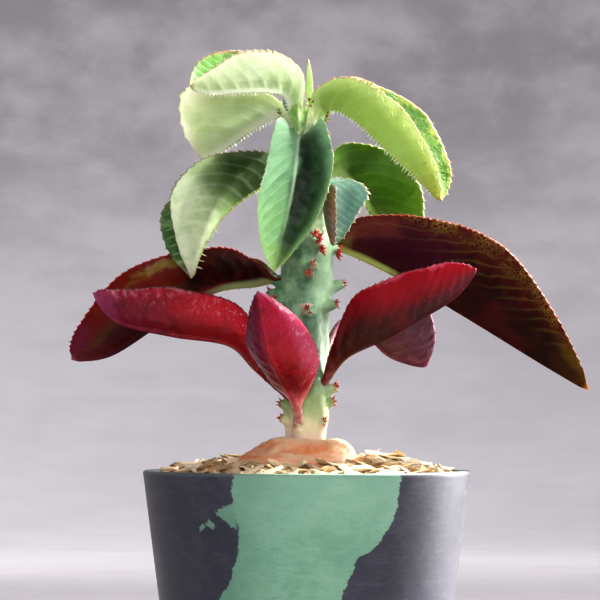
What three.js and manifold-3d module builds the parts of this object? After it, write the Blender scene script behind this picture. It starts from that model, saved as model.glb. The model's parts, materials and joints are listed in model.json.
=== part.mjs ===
// A potted succulent: a spiny angled stem on a swollen woody base, keeled leaves with toothed
// edges, a cover of stone chips over the soil, and a plain tapered pot.
// Millimetres, +Z up, with the origin at the middle of the pot's underside.
import * as THREE from 'three';
import { mergeVertices } from 'three/addons/utils/BufferGeometryUtils.js';
import Module from 'manifold-3d';

const wasm = await Module();
wasm.setup();

// Driving dimensions
const clearance = 0.3;
const pot = {
  height: 86, rimRadius: 45, baseRadius: 34, wall: 3, floor: 4, bevel: 0.7, sides: 40,
  drains: 4, drainRadius: 3, drainOffset: 16, drainSides: 14,
};
const soilTop = 79;
const cover = {
  edgeHeight: 84.4, middleHeight: 87.8, chips: 62, seed: 41,
  chipLength: [5.4, 9], chipWidth: [4, 6.4], chipDepth: [2, 3.2], chipLift: 0.8, chipTilt: 0.25,
};
const caudex = { x: -1.8, radius: 15.6, shoulder: 92, topRise: -0.6, sides: 20 };
const stem = { shoulder: 170, topRise: 0.8, angles: 5, angleDepth: 0.06, twist: 0.02, sides: 15 };
const cushion = { rootRadius: 3.1, tipRadius: 1.5, sides: 6, droop: 3, rootShare: 0.2 };
const stemSpine = { length: [1.4, 2], radius: 0.45, sunk: 0.5, lean: 0.95, offset: 0.7, seed: 7 };
const blade = {
  ribThickness: 1.9, midThickness: 1.1, edgeThickness: 0.65, keel: 0.9, thinning: 0.45, belly: 0.1,
  toothPitch: 3.2, toothDepth: 0.8, toothShare: 0.24, fewestSteps: 6, waveLength: 14, tipAt: 0.985,
};
const keelSpine = { length: [0.9, 1.6], radius: 0.34, sunk: 0.6, from: 0.14, to: 0.9, pitch: 5, seed: 19 };

// Colours and finishes
const finishes = {
  pot: { color: 0x3b3f48, roughness: 0.62, metalness: 0 },
  soil: { color: 0x3a2c21, roughness: 0.95, metalness: 0 },
  chips: { color: 0xcdae86, roughness: 0.9, metalness: 0 },
  caudex: { color: 0xc27a45, roughness: 0.8, metalness: 0 },
  stem: { color: 0x7fa588, roughness: 0.55, metalness: 0 },
  paleGreen: { color: 0xb9d283, roughness: 0.45, metalness: 0 },
  green: { color: 0x5f9a62, roughness: 0.45, metalness: 0 },
  crimson: { color: 0xa01030, roughness: 0.4, metalness: 0 },
  wine: { color: 0x54181c, roughness: 0.45, metalness: 0 },
};

// Each leaf has a midrib from the stem to the tip, and a left and a right edge that start
// beside the midrib and end at its tip. Left and right are seen from above, base to tip.
const leaves = [
  {
    name: 'leaf_crown_left', finish: 'paleGreen', stalk: 1.4, wave: 0.5,
    rib: [[-1.5, -1.5, 180.5], [-5, -4.5, 188.5], [-10.5, -7, 190.5], [-18.5, -9, 190],
      [-26.5, -10, 189.5], [-32.5, -11, 191]],
    left: [[-0.7, -7.5, 193.3], [-7.5, -12, 199.5], [-16.5, -15, 200], [-26, -14.5, 195]],
    right: [[-2.5, 1, 193], [-9.5, 4, 199], [-21.5, 3, 202], [-29.5, -3, 198]],
  },
  {
    name: 'leaf_crown_left_rear', finish: 'paleGreen', stalk: 1.3, wave: 0.3,
    rib: [[-2, 0.6, 180.5], [-7.5, 3, 184], [-14, 5, 181.5], [-20.5, 6.5, 177],
      [-25.5, 7.5, 174], [-30, 8, 172]],
    left: [[-8.5, 2, 188.5], [-20, 2.5, 193], [-33.5, 4, 191], [-34.5, 6, 181.5]],
    right: [[-8, 9, 187.5], [-17, 15, 189], [-26.5, 20, 188.5], [-32, 17, 180]],
  },
  {
    name: 'leaf_crown_right', finish: 'paleGreen', stalk: 1.4, wave: 0.4,
    rib: [[1.5, -1.8, 180.5], [6.5, -4.5, 186], [13.5, -6.5, 183], [21.7, -7.5, 175],
      [30.5, -8, 166.5], [37.6, -8, 159]],
    left: [[4.5, 2, 191.5], [16.5, 7, 194], [33, 6, 184], [39.5, -1, 169]],
    right: [[2.5, -8, 190], [12, -11.5, 193], [24.5, -12.5, 186], [34, -11.5, 172]],
  },
  {
    name: 'young_leaf_upright', finish: 'paleGreen', stalk: 0.8, wave: 0, slim: 0.45,
    rib: [[0.2, -0.5, 181], [0.3, -0.7, 188.5], [0.4, -1, 194], [0.5, -1.3, 199.4]],
    left: [[1.6, -1.6, 188.5], [1.6, -1.8, 194]],
    right: [[1.6, 0.7, 188.5], [1.6, 0.2, 194]],
  },
  {
    name: 'leaf_front', finish: 'green', stalk: 1.4, wave: 0.3,
    rib: [[-1, -3.5, 178], [-2, -13, 178.5], [-3, -19.5, 168.5], [-4.5, -21.5, 158.5],
      [-7, -21.5, 148], [-9, -21, 139]],
    left: [[4, -12.5, 182], [7, -21.5, 172], [5.5, -24.5, 160.5], [-0.5, -24, 149]],
    right: [[-7.5, -12.5, 182], [-11, -22, 168], [-13.2, -24.5, 157.5], [-12, -23.5, 146.5]],
  },
  {
    name: 'leaf_upper_left', finish: 'green', stalk: 1.4, wave: 0.3,
    rib: [[-4, -2.6, 168.5], [-12, -7, 165], [-22, -11, 157.5], [-27.5, -13, 149.5],
      [-30.5, -14, 142.5], [-31.5, -14.5, 137.5]],
    left: [[-12, -9, 173], [-27.5, -14, 171], [-36.5, -17, 161.5], [-35.5, -17.5, 149.5]],
    right: [[-11.5, 2, 171.5], [-27, 2, 168.5], [-39, -2, 158], [-38.5, -8, 147.5]],
  },
  {
    name: 'leaf_upper_right_rear', finish: 'green', stalk: 1.4, wave: 0.3,
    rib: [[3.7, 3.4, 167], [9.5, 8, 168.5], [15, 14, 163.5], [19, 20, 157.5],
      [22.5, 25.5, 152], [26.5, 29, 148]],
    left: [[9.5, 15, 174.5], [20, 27, 173], [28, 34, 164.5], [29.5, 35, 155]],
    right: [[10, 6, 176], [22.5, 10, 174.5], [31.5, 15, 165.5], [32.5, 22, 155]],
  },
  {
    name: 'leaf_small_right', finish: 'green', stalk: 1.1, wave: 0.2, slim: 0.8,
    rib: [[3.2, -3.8, 165.5], [5.3, -11, 164], [5, -14, 159.5], [5.5, -15.5, 154.5],
      [6.3, -16, 150.5], [7.5, -16, 146.5]],
    left: [[12.4, -6, 165.7], [16.8, -7, 162], [14.3, -9.5, 156.8], [11.2, -13, 151.2]],
    right: [[7.4, -17, 163.2], [8, -20, 158.7], [7.8, -20.5, 153.8], [7.8, -18.5, 149.6]],
  },
  {
    name: 'leaf_rear', finish: 'green', stalk: 1.4, wave: 0.3,
    rib: [[0, 4, 170], [-0.5, 13, 175.5], [-1, 24, 172.5], [-2, 33, 163],
      [-3, 38.5, 152], [-4, 41, 142]],
    left: [[-5, 12.5, 178], [-7.5, 25, 176], [-10.5, 35, 165.5], [-8.5, 41, 152]],
    right: [[5.5, 12.5, 179], [6.5, 25, 178], [6, 35, 166], [2.5, 41, 152]],
  },
  {
    name: 'red_leaf_left_rear', finish: 'wine', stalk: 1.5, wave: 0.3,
    rib: [[-8, 3.5, 138.8], [-14, 6, 137.8], [-26, 10, 135.8], [-41, 14, 127],
      [-55, 16.5, 118.2], [-66.8, 17, 116.4]],
    left: [[-14, 4, 143.5], [-25.5, 7, 147.5], [-49.5, 11, 141.5], [-65, 15, 125.5]],
    right: [[-14, 13, 144.5], [-27, 24, 144], [-46.5, 29, 136.5], [-61, 26, 125]],
  },
  {
    name: 'red_leaf_left_front', finish: 'crimson', stalk: 1.4, wave: 0.4,
    rib: [[-3.6, -3.1, 105.6], [-13.3, -9, 113.8], [-21.1, -12, 120.8], [-36.5, -14, 123.2],
      [-51.1, -16, 126.8], [-58.5, -17, 135.2]],
    left: [[-13.5, -10.5, 114.9], [-17, -16, 129.7], [-34.7, -19, 135.5], [-50.4, -19, 135.1]],
    right: [[-13, -6.8, 114.5], [-18.3, -2, 126.7], [-35, 2, 133.3], [-49.7, -6, 134.8]],
  },
  {
    name: 'red_leaf_front', finish: 'crimson', stalk: 1.5, wave: 0.2,
    rib: [[-2, -4.5, 98.8], [-2.9, -8, 103.7], [-6.1, -15, 110.2], [-10.3, -22.5, 118.2],
      [-12.2, -27.5, 126.6], [-13.2, -30, 135.3]],
    left: [[-1, -7, 104.5], [1.7, -12, 109.9], [3.2, -17, 117.8], [-2.4, -24, 127.4]],
    right: [[-4.3, -7, 104.7], [-10.5, -13, 111], [-16, -19, 120.2], [-15.6, -25.5, 128.1]],
  },
  {
    name: 'red_leaf_right_front', finish: 'crimson', stalk: 1.4, wave: 0.7,
    rib: [[4.8, -2.7, 110.4], [10.5, -8, 117.4], [19.9, -12, 122], [30.7, -15, 127.8],
      [40.1, -17.5, 133.7], [46.4, -19, 141.5]],
    left: [[9.1, -3, 120.5], [18, 1, 131.4], [30, -2, 136], [39.6, -10, 140.1]],
    right: [[7.2, -10, 121], [13.3, -16.5, 133.7], [26.5, -21, 139.4], [37.2, -22, 142.2]],
  },
  {
    name: 'red_leaf_right_rear', finish: 'crimson', stalk: 1.4, wave: 0.3,
    rib: [[4.8, 3, 119], [9.5, 8, 126.8], [15.5, 13, 125.3], [22.3, 19, 118.6],
      [28.6, 23, 115.8], [34.8, 26, 114.6]],
    left: [[9.9, 10.5, 127.4], [17.3, 22, 130.5], [25.9, 30, 127.8], [31.6, 31, 120.4]],
    right: [[10.1, 6.5, 128.2], [18.2, 9, 135.2], [31.1, 14, 135.3], [36, 20, 124.8]],
  },
  {
    name: 'red_leaf_right_large', finish: 'wine', stalk: 1.7, wave: 0.4,
    rib: [[6, 0.6, 148.3], [14.7, 3.5, 145.4], [30, 6.5, 137.6], [47.7, 9, 127],
      [64.9, 11, 116.3], [79.8, 12, 107.4]],
    left: [[15.5, 11, 151], [34, 20.5, 144], [52, 25.5, 132.5], [67, 21.5, 119]],
    right: [[15, 0, 155.6], [35.6, 1, 155], [54.8, 4, 147.3], [69.4, 8, 128.2]],
  },
  {
    name: 'red_leaf_rear', finish: 'wine', stalk: 1.4, wave: 0.3,
    rib: [[-1, 4.5, 110], [-2, 13, 115], [-4.5, 25, 117.5], [-7, 37, 116],
      [-9, 48, 112], [-10, 57, 106.5]],
    left: [[-5.5, 12.5, 118], [-14, 25, 124], [-17.5, 38, 123], [-15.5, 49, 116]],
    right: [[2, 12.5, 118], [4, 25, 122.5], [2.5, 38, 121], [-3, 49, 115]],
  },
];

// The swollen base's outline, as shares of its radius by height, and its lumps: how many
// there are around it, how far they turn with height, where they start and how high they are.
const caudexOutline = [
  [0.35, 64], [0.62, 71], [0.86, 78], [0.98, 84], [1, 88], [0.93, 91.6], [0.74, 94.4], [0.5, 95.6],
];
const caudexLumps = [[2, 0, 0.6, 0.035], [5, 1 / 3, 0, 0.03], [3, -0.5, 0, 0.02]];

// The stem's outline, radius by height.
const stemOutline = [
  [5.2, 92.2], [5.6, 96], [6.2, 103], [5.7, 110], [5.6, 116], [6.1, 122], [5.9, 129],
  [6.8, 138], [7, 146], [6.3, 156], [5.9, 168], [5.3, 176], [4, 180.5], [2, 183.2],
];

// Tips of the raised cushions on the stem, with the number of spines on each.
const cushions = [
  [-3.2, -6.2, 98.2, 1], [5, -4.6, 99.4, 3], [-7, -1.5, 100.4, 4], [1.5, 7.6, 101.5, 3],
  [-7.2, -1.5, 104.4, 4], [7.4, -1.8, 105, 3], [-5, 6.6, 108, 3], [8, -3.6, 108.8, 4],
  [-0.8, 8, 110.4, 2], [5.6, 6, 113.8, 3], [-8, 1, 116.2, 3], [7.2, 3.6, 119.2, 2],
  [-5.2, 6.8, 122.6, 3], [2.4, 8.2, 126.4, 3], [-0.2, -8, 129.8, 5], [8.2, -3.6, 131.8, 5],
  [-8.8, -3.6, 133, 5], [-10.4, 2.4, 135, 4], [4, 8.6, 136, 3], [10.2, -1.4, 137.2, 5],
  [-10.6, 4.4, 138.8, 3], [0.6, -8.6, 139.8, 5], [1.9, -8.4, 142.2, 3], [-3.4, 8.8, 144, 3],
  [8.6, -0.6, 147.2, 4], [3.6, -7.9, 148.4, 5], [-8.2, -2.6, 151, 3], [5.4, 7.2, 154, 3],
  [-6.2, 6, 158, 3], [7.8, -2.4, 160.5, 3], [4.4, -6, 165.2, 2], [5.4, 5.4, 167, 2],
  [-6, -4.2, 168.2, 2], [0, 7.6, 170.4, 2],
];

function seededRandom(seed) {
  let state = seed;
  return () => {
    state = (state * 16807) % 2147483647;
    return state / 2147483647;
  };
}

function between(range, share) {
  return range[0] + (range[1] - range[0]) * share;
}

function vector(values) {
  return new THREE.Vector3(...values);
}

// A closed geometry with shared corners becomes a solid. Triangles that a pole has
// squeezed to a line are dropped.
function solidFrom(geometry) {
  const bare = geometry.clone();
  bare.deleteAttribute('normal');
  bare.deleteAttribute('uv');
  const merged = mergeVertices(bare, 1e-4);
  const corners = [];
  for (let i = 0; i < merged.index.count; i += 3) {
    const [a, b, c] = [0, 1, 2].map((k) => merged.index.getX(i + k));
    if (a !== b && b !== c && c !== a) {
      corners.push(a, b, c);
    }
  }
  return new wasm.Manifold(new wasm.Mesh({
    numProp: 3,
    vertProperties: new Float32Array(merged.attributes.position.array),
    triVerts: new Uint32Array(corners),
  }));
}

function geometryFrom(solid) {
  const mesh = solid.getMesh();
  const geometry = new THREE.BufferGeometry();
  geometry.setAttribute('position', new THREE.BufferAttribute(mesh.vertProperties, 3));
  geometry.setIndex(new THREE.BufferAttribute(mesh.triVerts, 1));
  geometry.computeVertexNormals();
  return geometry;
}

function largestPiece(solid) {
  const pieces = solid.decompose();
  return pieces.reduce((best, piece) => (piece.volume() > best.volume() ? piece : best));
}

function joined(solids) {
  return wasm.Manifold.union(solids);
}

// A profile of [radius, height] pairs that starts and ends on the axis, turned about Z.
function turned(profile, sides) {
  const geometry = new THREE.LatheGeometry(profile.map(([r, z]) => new THREE.Vector2(r, z)), sides);
  return geometry.rotateX(Math.PI / 2);
}

// Moves every corner of a turned shape out from its axis by a factor of angle and height.
function reshaped(geometry, factor) {
  const position = geometry.attributes.position;
  for (let i = 0; i < position.count; i += 1) {
    const [x, y, z] = [position.getX(i), position.getY(i), position.getZ(i)];
    const scale = factor(Math.atan2(y, x), z);
    position.setXYZ(i, x * scale, y * scale, z);
  }
  return geometry;
}

// A tapered peg of few sides from one point towards another.
function peg(start, end, startRadius, endRadius, sides) {
  const along = end.clone().sub(start);
  const geometry = endRadius > 0
    ? new THREE.CylinderGeometry(endRadius, startRadius, along.length(), sides)
    : new THREE.ConeGeometry(startRadius, along.length(), sides);
  const turn = new THREE.Quaternion().setFromUnitVectors(
    new THREE.Vector3(0, 1, 0), along.clone().normalize());
  geometry.applyQuaternion(turn);
  const middle = start.clone().add(end).multiplyScalar(0.5);
  geometry.translate(middle.x, middle.y, middle.z);
  return solidFrom(geometry);
}

function outerRadiusAt(z) {
  return pot.baseRadius + (pot.rimRadius - pot.baseRadius) * z / pot.height;
}

function innerRadiusAt(z) {
  return outerRadiusAt(z) - pot.wall;
}

function makePot() {
  const { height, floor, bevel, sides } = pot;
  const body = solidFrom(turned([
    [0, 0], [outerRadiusAt(0) - bevel, 0], [outerRadiusAt(bevel), bevel],
    [outerRadiusAt(height - bevel), height - bevel], [outerRadiusAt(height) - bevel, height],
    [innerRadiusAt(height) + bevel, height], [innerRadiusAt(height - bevel), height - bevel],
    [innerRadiusAt(floor), floor], [0, floor],
  ], sides));
  const holes = [];
  for (let i = 0; i < pot.drains; i += 1) {
    const angle = (i + 0.5) * 2 * Math.PI / pot.drains;
    const centre = new THREE.Vector3(Math.cos(angle), Math.sin(angle), 0).multiplyScalar(pot.drainOffset);
    const below = centre.clone().setZ(-1);
    const above = centre.clone().setZ(floor + 1);
    holes.push(peg(below, above, pot.drainRadius, pot.drainRadius, pot.drainSides));
  }
  return body.subtract(joined(holes));
}

// An outline of [radius, height] pairs, grown by a margin and closed at the axis. Heights
// above the shoulder grow too.
function grownProfile(outline, { shoulder, topRise }, margin) {
  const grown = outline.map(([radius, z]) => [radius + margin, z > shoulder ? z + margin : z]);
  const foot = outline[0][1] - margin;
  const top = outline[outline.length - 1][1] + topRise + margin;
  return [[0, foot], [grown[0][0], foot], ...grown.slice(1), [0, top]];
}

// The swollen woody base, grown on every side by the margin given.
function makeCaudex(margin) {
  const outline = caudexOutline.map(([share, z]) => [share * caudex.radius, z]);
  const lumpy = (angle, z) => caudexLumps.reduce(
    (sum, [count, turn, start, amount]) => sum + amount * Math.sin(count * angle + turn * z + start), 1);
  const body = reshaped(turned(grownProfile(outline, caudex, margin), caudex.sides), lumpy);
  return solidFrom(body.translate(caudex.x, 0, 0));
}

// The stem without its spines, grown on every side by the margin given.
function makeStemBody(margin) {
  const profile = grownProfile(stemOutline, stem, margin);
  const angled = (angle, z) => 1 + stem.angleDepth * Math.cos(stem.angles * (angle + stem.twist * z));
  const core = solidFrom(reshaped(turned(profile, stem.sides), angled));
  const pegs = cushions.map(([x, y, z]) => {
    const tip = new THREE.Vector3(x, y, z);
    const root = new THREE.Vector3(x * cushion.rootShare, y * cushion.rootShare, z - cushion.droop);
    const reach = tip.clone().sub(root).normalize().multiplyScalar(margin);
    return peg(root, tip.add(reach), cushion.rootRadius + margin, cushion.tipRadius + margin,
      cushion.sides);
  });
  return joined([core, ...pegs]);
}

// Short thick spines in a star on each cushion, left out where a leaf is in the way.
function makeStemSpines(obstacles) {
  const random = seededRandom(stemSpine.seed);
  const spines = [];
  for (const [x, y, z, count] of cushions) {
    const outward = new THREE.Vector3(x, y, 0).normalize();
    const sideways = new THREE.Vector3(-outward.y, outward.x, 0);
    for (let i = 0; i < count; i += 1) {
      const angle = (i + 0.3 * random()) * 2 * Math.PI / count - Math.PI / 2;
      const spread = sideways.clone().multiplyScalar(Math.cos(angle));
      spread.z = Math.sin(angle);
      const aim = outward.clone().addScaledVector(spread, stemSpine.lean).normalize();
      const seat = new THREE.Vector3(x, y, z).addScaledVector(spread, stemSpine.offset);
      const root = seat.clone().addScaledVector(aim, -stemSpine.sunk);
      const tip = seat.clone().addScaledVector(aim, between(stemSpine.length, random()));
      const guard = peg(root, tip.clone().addScaledVector(aim, clearance), stemSpine.radius * 2,
        stemSpine.radius, 4);
      if (obstacles.every((obstacle) => obstacle.intersect(guard).isEmpty())) {
        spines.push(peg(root, tip, stemSpine.radius, 0, 3));
      }
    }
  }
  return spines;
}

// A leaf's midrib and edges as curves, and its cross-section at a share of the way along it.
class LeafForm {
  constructor(leaf) {
    const rib = leaf.rib.map(vector);
    const tip = rib[rib.length - 1];
    const along = rib[1].clone().sub(rib[0]).normalize();
    const side = vector(leaf.left[0]).sub(vector(leaf.right[0]));
    side.addScaledVector(along, -side.dot(along)).normalize();
    const edge = (points, way) => new THREE.CatmullRomCurve3(
      [rib[0].clone().addScaledVector(side, way * leaf.stalk), ...points.map(vector), tip],
      false, 'catmullrom', 0.5);
    this.rib = new THREE.CatmullRomCurve3(rib, false, 'catmullrom', 0.5);
    this.left = edge(leaf.left, 1);
    this.right = edge(leaf.right, -1);
    this.wave = leaf.wave;
    this.slim = leaf.slim ?? 1;
    this.length = this.rib.getLength();
  }

  section(share) {
    const t = this.rib.getUtoTmapping(share * blade.tipAt);
    const centre = this.rib.getPoint(t);
    const along = this.rib.getTangent(t);
    const toLeft = this.left.getPoint(t).sub(centre);
    const toRight = this.right.getPoint(t).sub(centre);
    const leftUp = along.clone().cross(toLeft).normalize();
    const rightUp = toRight.clone().cross(along).normalize();
    return { centre, toLeft, toRight, leftUp, rightUp, up: leftUp.clone().add(rightUp).normalize() };
  }
}

// How much thinner a leaf is at a share of the way to its tip.
function thinning(share) {
  return 1 - blade.thinning * share;
}

// A leaf blade as one closed body: an upper and a lower skin, each split alike, and the
// edges between them, with one tooth for each step along an edge.
function makeBlade(form) {
  const steps = Math.max(blade.fewestSteps, Math.round(form.length / blade.toothPitch));
  const positions = [];
  const triangles = [];
  const addPair = (point, up, above, below) => {
    const top = point.clone().addScaledVector(up, above);
    const bottom = point.clone().addScaledVector(up, -below);
    positions.push(top.x, top.y, top.z, bottom.x, bottom.y, bottom.z);
    return positions.length / 6 - 1;
  };
  const taper = (share) => thinning(share) * form.slim;
  const edgePair = (share, way, tooth) => {
    const { centre, toLeft, toRight, leftUp, rightUp } = form.section(share);
    const [reach, up] = way > 0 ? [toLeft, leftUp] : [toRight, rightUp];
    const depth = Math.min(blade.toothDepth, reach.length() * blade.toothShare) / 2;
    const point = centre.clone().add(reach).addScaledVector(reach.clone().normalize(), tooth * depth);
    const swell = Math.sin(Math.PI * share) * form.wave;
    point.addScaledVector(up, swell * Math.sin(2 * Math.PI * share * form.length / blade.waveLength + way));
    return addPair(point, up, blade.edgeThickness / 2, blade.edgeThickness / 2);
  };
  const middleThickness = (share) => Math.max(blade.edgeThickness, blade.midThickness * taper(share));
  const rows = [];
  for (let i = 0; i <= steps; i += 1) {
    const share = i / steps;
    const { centre, toLeft, toRight, leftUp, rightUp, up } = form.section(share);
    const middle = (reach, out) => addPair(
      centre.clone().addScaledVector(reach, 0.5).addScaledVector(out, -blade.belly * reach.length()),
      out, middleThickness(share) / 2, middleThickness(share) / 2);
    rows.push({
      leftEdge: edgePair(share, 1, 1),
      left: middle(toLeft, leftUp),
      rib: addPair(centre, up, blade.ribThickness * taper(share) / 2,
        (blade.ribThickness / 2 + blade.keel) * taper(share)),
      right: middle(toRight, rightUp),
      rightEdge: edgePair(share, -1, 1),
      leftNotch: i < steps ? edgePair((i + 0.5) / steps, 1, -1) : null,
      rightNotch: i < steps ? edgePair((i + 0.5) / steps, -1, -1) : null,
    });
  }
  const skin = (a, b, c) => triangles.push(2 * a, 2 * b, 2 * c, 2 * a + 1, 2 * c + 1, 2 * b + 1);
  const wall = (a, b) => triangles.push(2 * a, 2 * b, 2 * b + 1, 2 * a, 2 * b + 1, 2 * a + 1);
  for (let i = 0; i < steps; i += 1) {
    const [near, far] = [rows[i], rows[i + 1]];
    skin(near.leftEdge, near.left, near.leftNotch);
    skin(near.leftNotch, near.left, far.left);
    skin(near.leftNotch, far.left, far.leftEdge);
    skin(near.left, near.rib, far.rib);
    skin(near.left, far.rib, far.left);
    skin(near.rib, near.right, far.rib);
    skin(near.right, far.right, far.rib);
    skin(near.rightEdge, near.rightNotch, near.right);
    skin(near.rightNotch, far.right, near.right);
    skin(near.rightNotch, far.rightEdge, far.right);
    wall(near.leftEdge, near.leftNotch);
    wall(near.leftNotch, far.leftEdge);
    wall(near.rightNotch, near.rightEdge);
    wall(far.rightEdge, near.rightNotch);
  }
  const across = ['leftEdge', 'left', 'rib', 'right', 'rightEdge'];
  for (let k = 0; k < across.length - 1; k += 1) {
    wall(rows[0][across[k + 1]], rows[0][across[k]]);
    wall(rows[steps][across[k]], rows[steps][across[k + 1]]);
  }
  const geometry = new THREE.BufferGeometry();
  geometry.setAttribute('position', new THREE.Float32BufferAttribute(positions, 3));
  geometry.setIndex(triangles);
  return solidFrom(geometry);
}

// Small spines in a line down the keel on the leaf's underside.
function makeKeelSpines(form, random) {
  const count = Math.floor(form.length * (keelSpine.to - keelSpine.from) / keelSpine.pitch);
  const spines = [];
  for (let i = 0; i < count; i += 1) {
    const share = keelSpine.from + (keelSpine.to - keelSpine.from) * (i + 0.4 * random()) / count;
    const { centre, up } = form.section(share);
    const below = (blade.ribThickness / 2 + blade.keel) * thinning(share) * form.slim;
    const seat = centre.clone().addScaledVector(up, -below);
    const root = seat.clone().addScaledVector(up, keelSpine.sunk);
    const tip = seat.clone().addScaledVector(up, -between(keelSpine.length, random()));
    spines.push(peg(root, tip, keelSpine.radius, 0, 3));
  }
  return spines;
}

function makeLeaf(leaf, stemSpace, random) {
  const form = new LeafForm(leaf);
  const whole = joined([makeBlade(form), ...makeKeelSpines(form, random)]);
  return largestPiece(whole.subtract(stemSpace));
}

function makeSoil(caudexSpace) {
  const edge = (z) => innerRadiusAt(z) - clearance;
  const body = solidFrom(turned([
    [0, pot.floor], [edge(pot.floor), pot.floor], [edge(soilTop), soilTop], [0, soilTop],
  ], pot.sides));
  return body.subtract(caudexSpace);
}

// Angular stone chips pressed into a low mound of grit round the swollen base.
function makeCover(caudexSpace) {
  const random = seededRandom(cover.seed);
  const edge = innerRadiusAt(soilTop) - clearance;
  const inner = caudex.radius;
  const moundAt = (r) => {
    const share = Math.min(1, Math.max(0, (edge - r) / (edge - inner)));
    return cover.edgeHeight + (cover.middleHeight - cover.edgeHeight) * share;
  };
  const bed = solidFrom(turned([
    [0, soilTop], [edge, soilTop], [edge, cover.edgeHeight], [inner, cover.middleHeight],
    [0, cover.middleHeight],
  ], pot.sides));
  const chips = [];
  const goldenAngle = Math.PI * (3 - Math.sqrt(5));
  for (let i = 0; i < cover.chips; i += 1) {
    const size = ['chipLength', 'chipWidth', 'chipDepth'].map((key) => between(cover[key], random()) / 2);
    const spare = edge - size[0] - clearance;
    const r = Math.sqrt(inner ** 2 + (spare ** 2 - inner ** 2) * (i + 0.5) / cover.chips);
    const angle = i * goldenAngle + 0.3 * random();
    const [leanX, leanY] = [between([-1, 1], random()), between([-1, 1], random())];
    const tilt = new THREE.Euler(leanX * cover.chipTilt, leanY * cover.chipTilt, 2 * Math.PI * random());
    const chip = new THREE.OctahedronGeometry(1);
    chip.scale(...size).applyQuaternion(new THREE.Quaternion().setFromEuler(tilt));
    chip.translate(r * Math.cos(angle), r * Math.sin(angle), moundAt(r) + cover.chipLift * random());
    chips.push(solidFrom(chip));
  }
  return largestPiece(joined([bed, ...chips]).subtract(caudexSpace));
}

const group = new THREE.Group();

function addNode(name, solid, finish) {
  const mesh = new THREE.Mesh(geometryFrom(solid), new THREE.MeshStandardMaterial(finishes[finish]));
  mesh.name = name;
  group.add(mesh);
}

const caudexSpace = makeCaudex(clearance);
const stemSpace = makeStemBody(clearance);
const random = seededRandom(keelSpine.seed);
const leafSolids = leaves.map((leaf) => makeLeaf(leaf, stemSpace, random));

addNode('pot', makePot(), 'pot');
addNode('soil', makeSoil(caudexSpace), 'soil');
addNode('top_dressing', makeCover(caudexSpace), 'chips');
addNode('caudex', makeCaudex(0).subtract(stemSpace), 'caudex');
addNode('stem', joined([makeStemBody(0), ...makeStemSpines(leafSolids)]), 'stem');
leaves.forEach((leaf, i) => addNode(leaf.name, leafSolids[i], leaf.finish));

export default group;
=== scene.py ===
import json
import math
import random

import bmesh
import bpy
import numpy as np
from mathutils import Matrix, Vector, noise

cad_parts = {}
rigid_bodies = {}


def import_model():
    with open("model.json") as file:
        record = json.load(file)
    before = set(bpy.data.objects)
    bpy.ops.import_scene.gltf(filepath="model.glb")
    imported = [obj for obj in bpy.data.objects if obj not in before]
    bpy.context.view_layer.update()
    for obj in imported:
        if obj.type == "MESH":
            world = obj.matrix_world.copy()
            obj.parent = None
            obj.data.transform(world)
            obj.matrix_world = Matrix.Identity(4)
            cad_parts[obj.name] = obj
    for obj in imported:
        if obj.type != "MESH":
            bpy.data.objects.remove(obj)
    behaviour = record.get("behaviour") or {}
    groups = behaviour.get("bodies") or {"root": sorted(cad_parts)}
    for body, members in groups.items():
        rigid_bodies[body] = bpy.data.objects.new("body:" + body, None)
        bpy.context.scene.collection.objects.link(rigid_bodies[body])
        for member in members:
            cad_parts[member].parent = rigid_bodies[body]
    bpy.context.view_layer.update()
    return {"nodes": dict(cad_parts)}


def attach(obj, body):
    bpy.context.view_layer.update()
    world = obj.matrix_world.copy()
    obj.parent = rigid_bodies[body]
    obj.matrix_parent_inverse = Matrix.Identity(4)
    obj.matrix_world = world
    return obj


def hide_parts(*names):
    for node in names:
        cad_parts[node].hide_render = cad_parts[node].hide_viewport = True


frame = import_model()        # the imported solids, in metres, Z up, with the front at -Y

mm = 0.001
scene = bpy.context.scene
scene.view_settings.view_transform = "Standard"
scene.view_settings.look = "Medium High Contrast"


# ---- shader and geometry nodes ----

def linearColour(text):                      # "#rrggbb" as the picture shows it, to linear light
    parts = [int(text[i:i + 2], 16) / 255 for i in (1, 3, 5)]
    return tuple(c / 12.92 if c <= 0.04045 else ((c + 0.055) / 1.055) ** 2.4 for c in parts) + (1.0,)


def plug(tree, socket, value):
    if isinstance(value, Wire):
        tree.links.new(value.socket, socket)
    elif isinstance(value, bpy.types.NodeSocket):
        tree.links.new(value, socket)
    elif isinstance(value, bpy.types.Node):
        tree.links.new(value.outputs[0], socket)
    elif isinstance(value, str) and value.startswith("#"):
        socket.default_value = linearColour(value)
    else:
        socket.default_value = value


def addNode(tree, kind, settings=None, values=None):
    node = tree.nodes.new(kind)
    for key, value in (settings or {}).items():
        if key == "stops":
            ramp = node.color_ramp
            while len(ramp.elements) < len(value):
                ramp.elements.new(0.5)
            for element, (position, colour) in zip(ramp.elements, value):
                element.position = position
                element.color = linearColour(colour)
        elif key == "curve":
            line = node.mapping.curves[0]
            while len(line.points) < len(value):
                line.points.new(0.5, 0.5)
            for point, place in zip(line.points, value):
                point.location = place
            node.mapping.update()
        else:
            setattr(node, key, value)
    for key, value in (values or {}).items():
        plug(tree, node.inputs[key], value)
    return node


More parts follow.
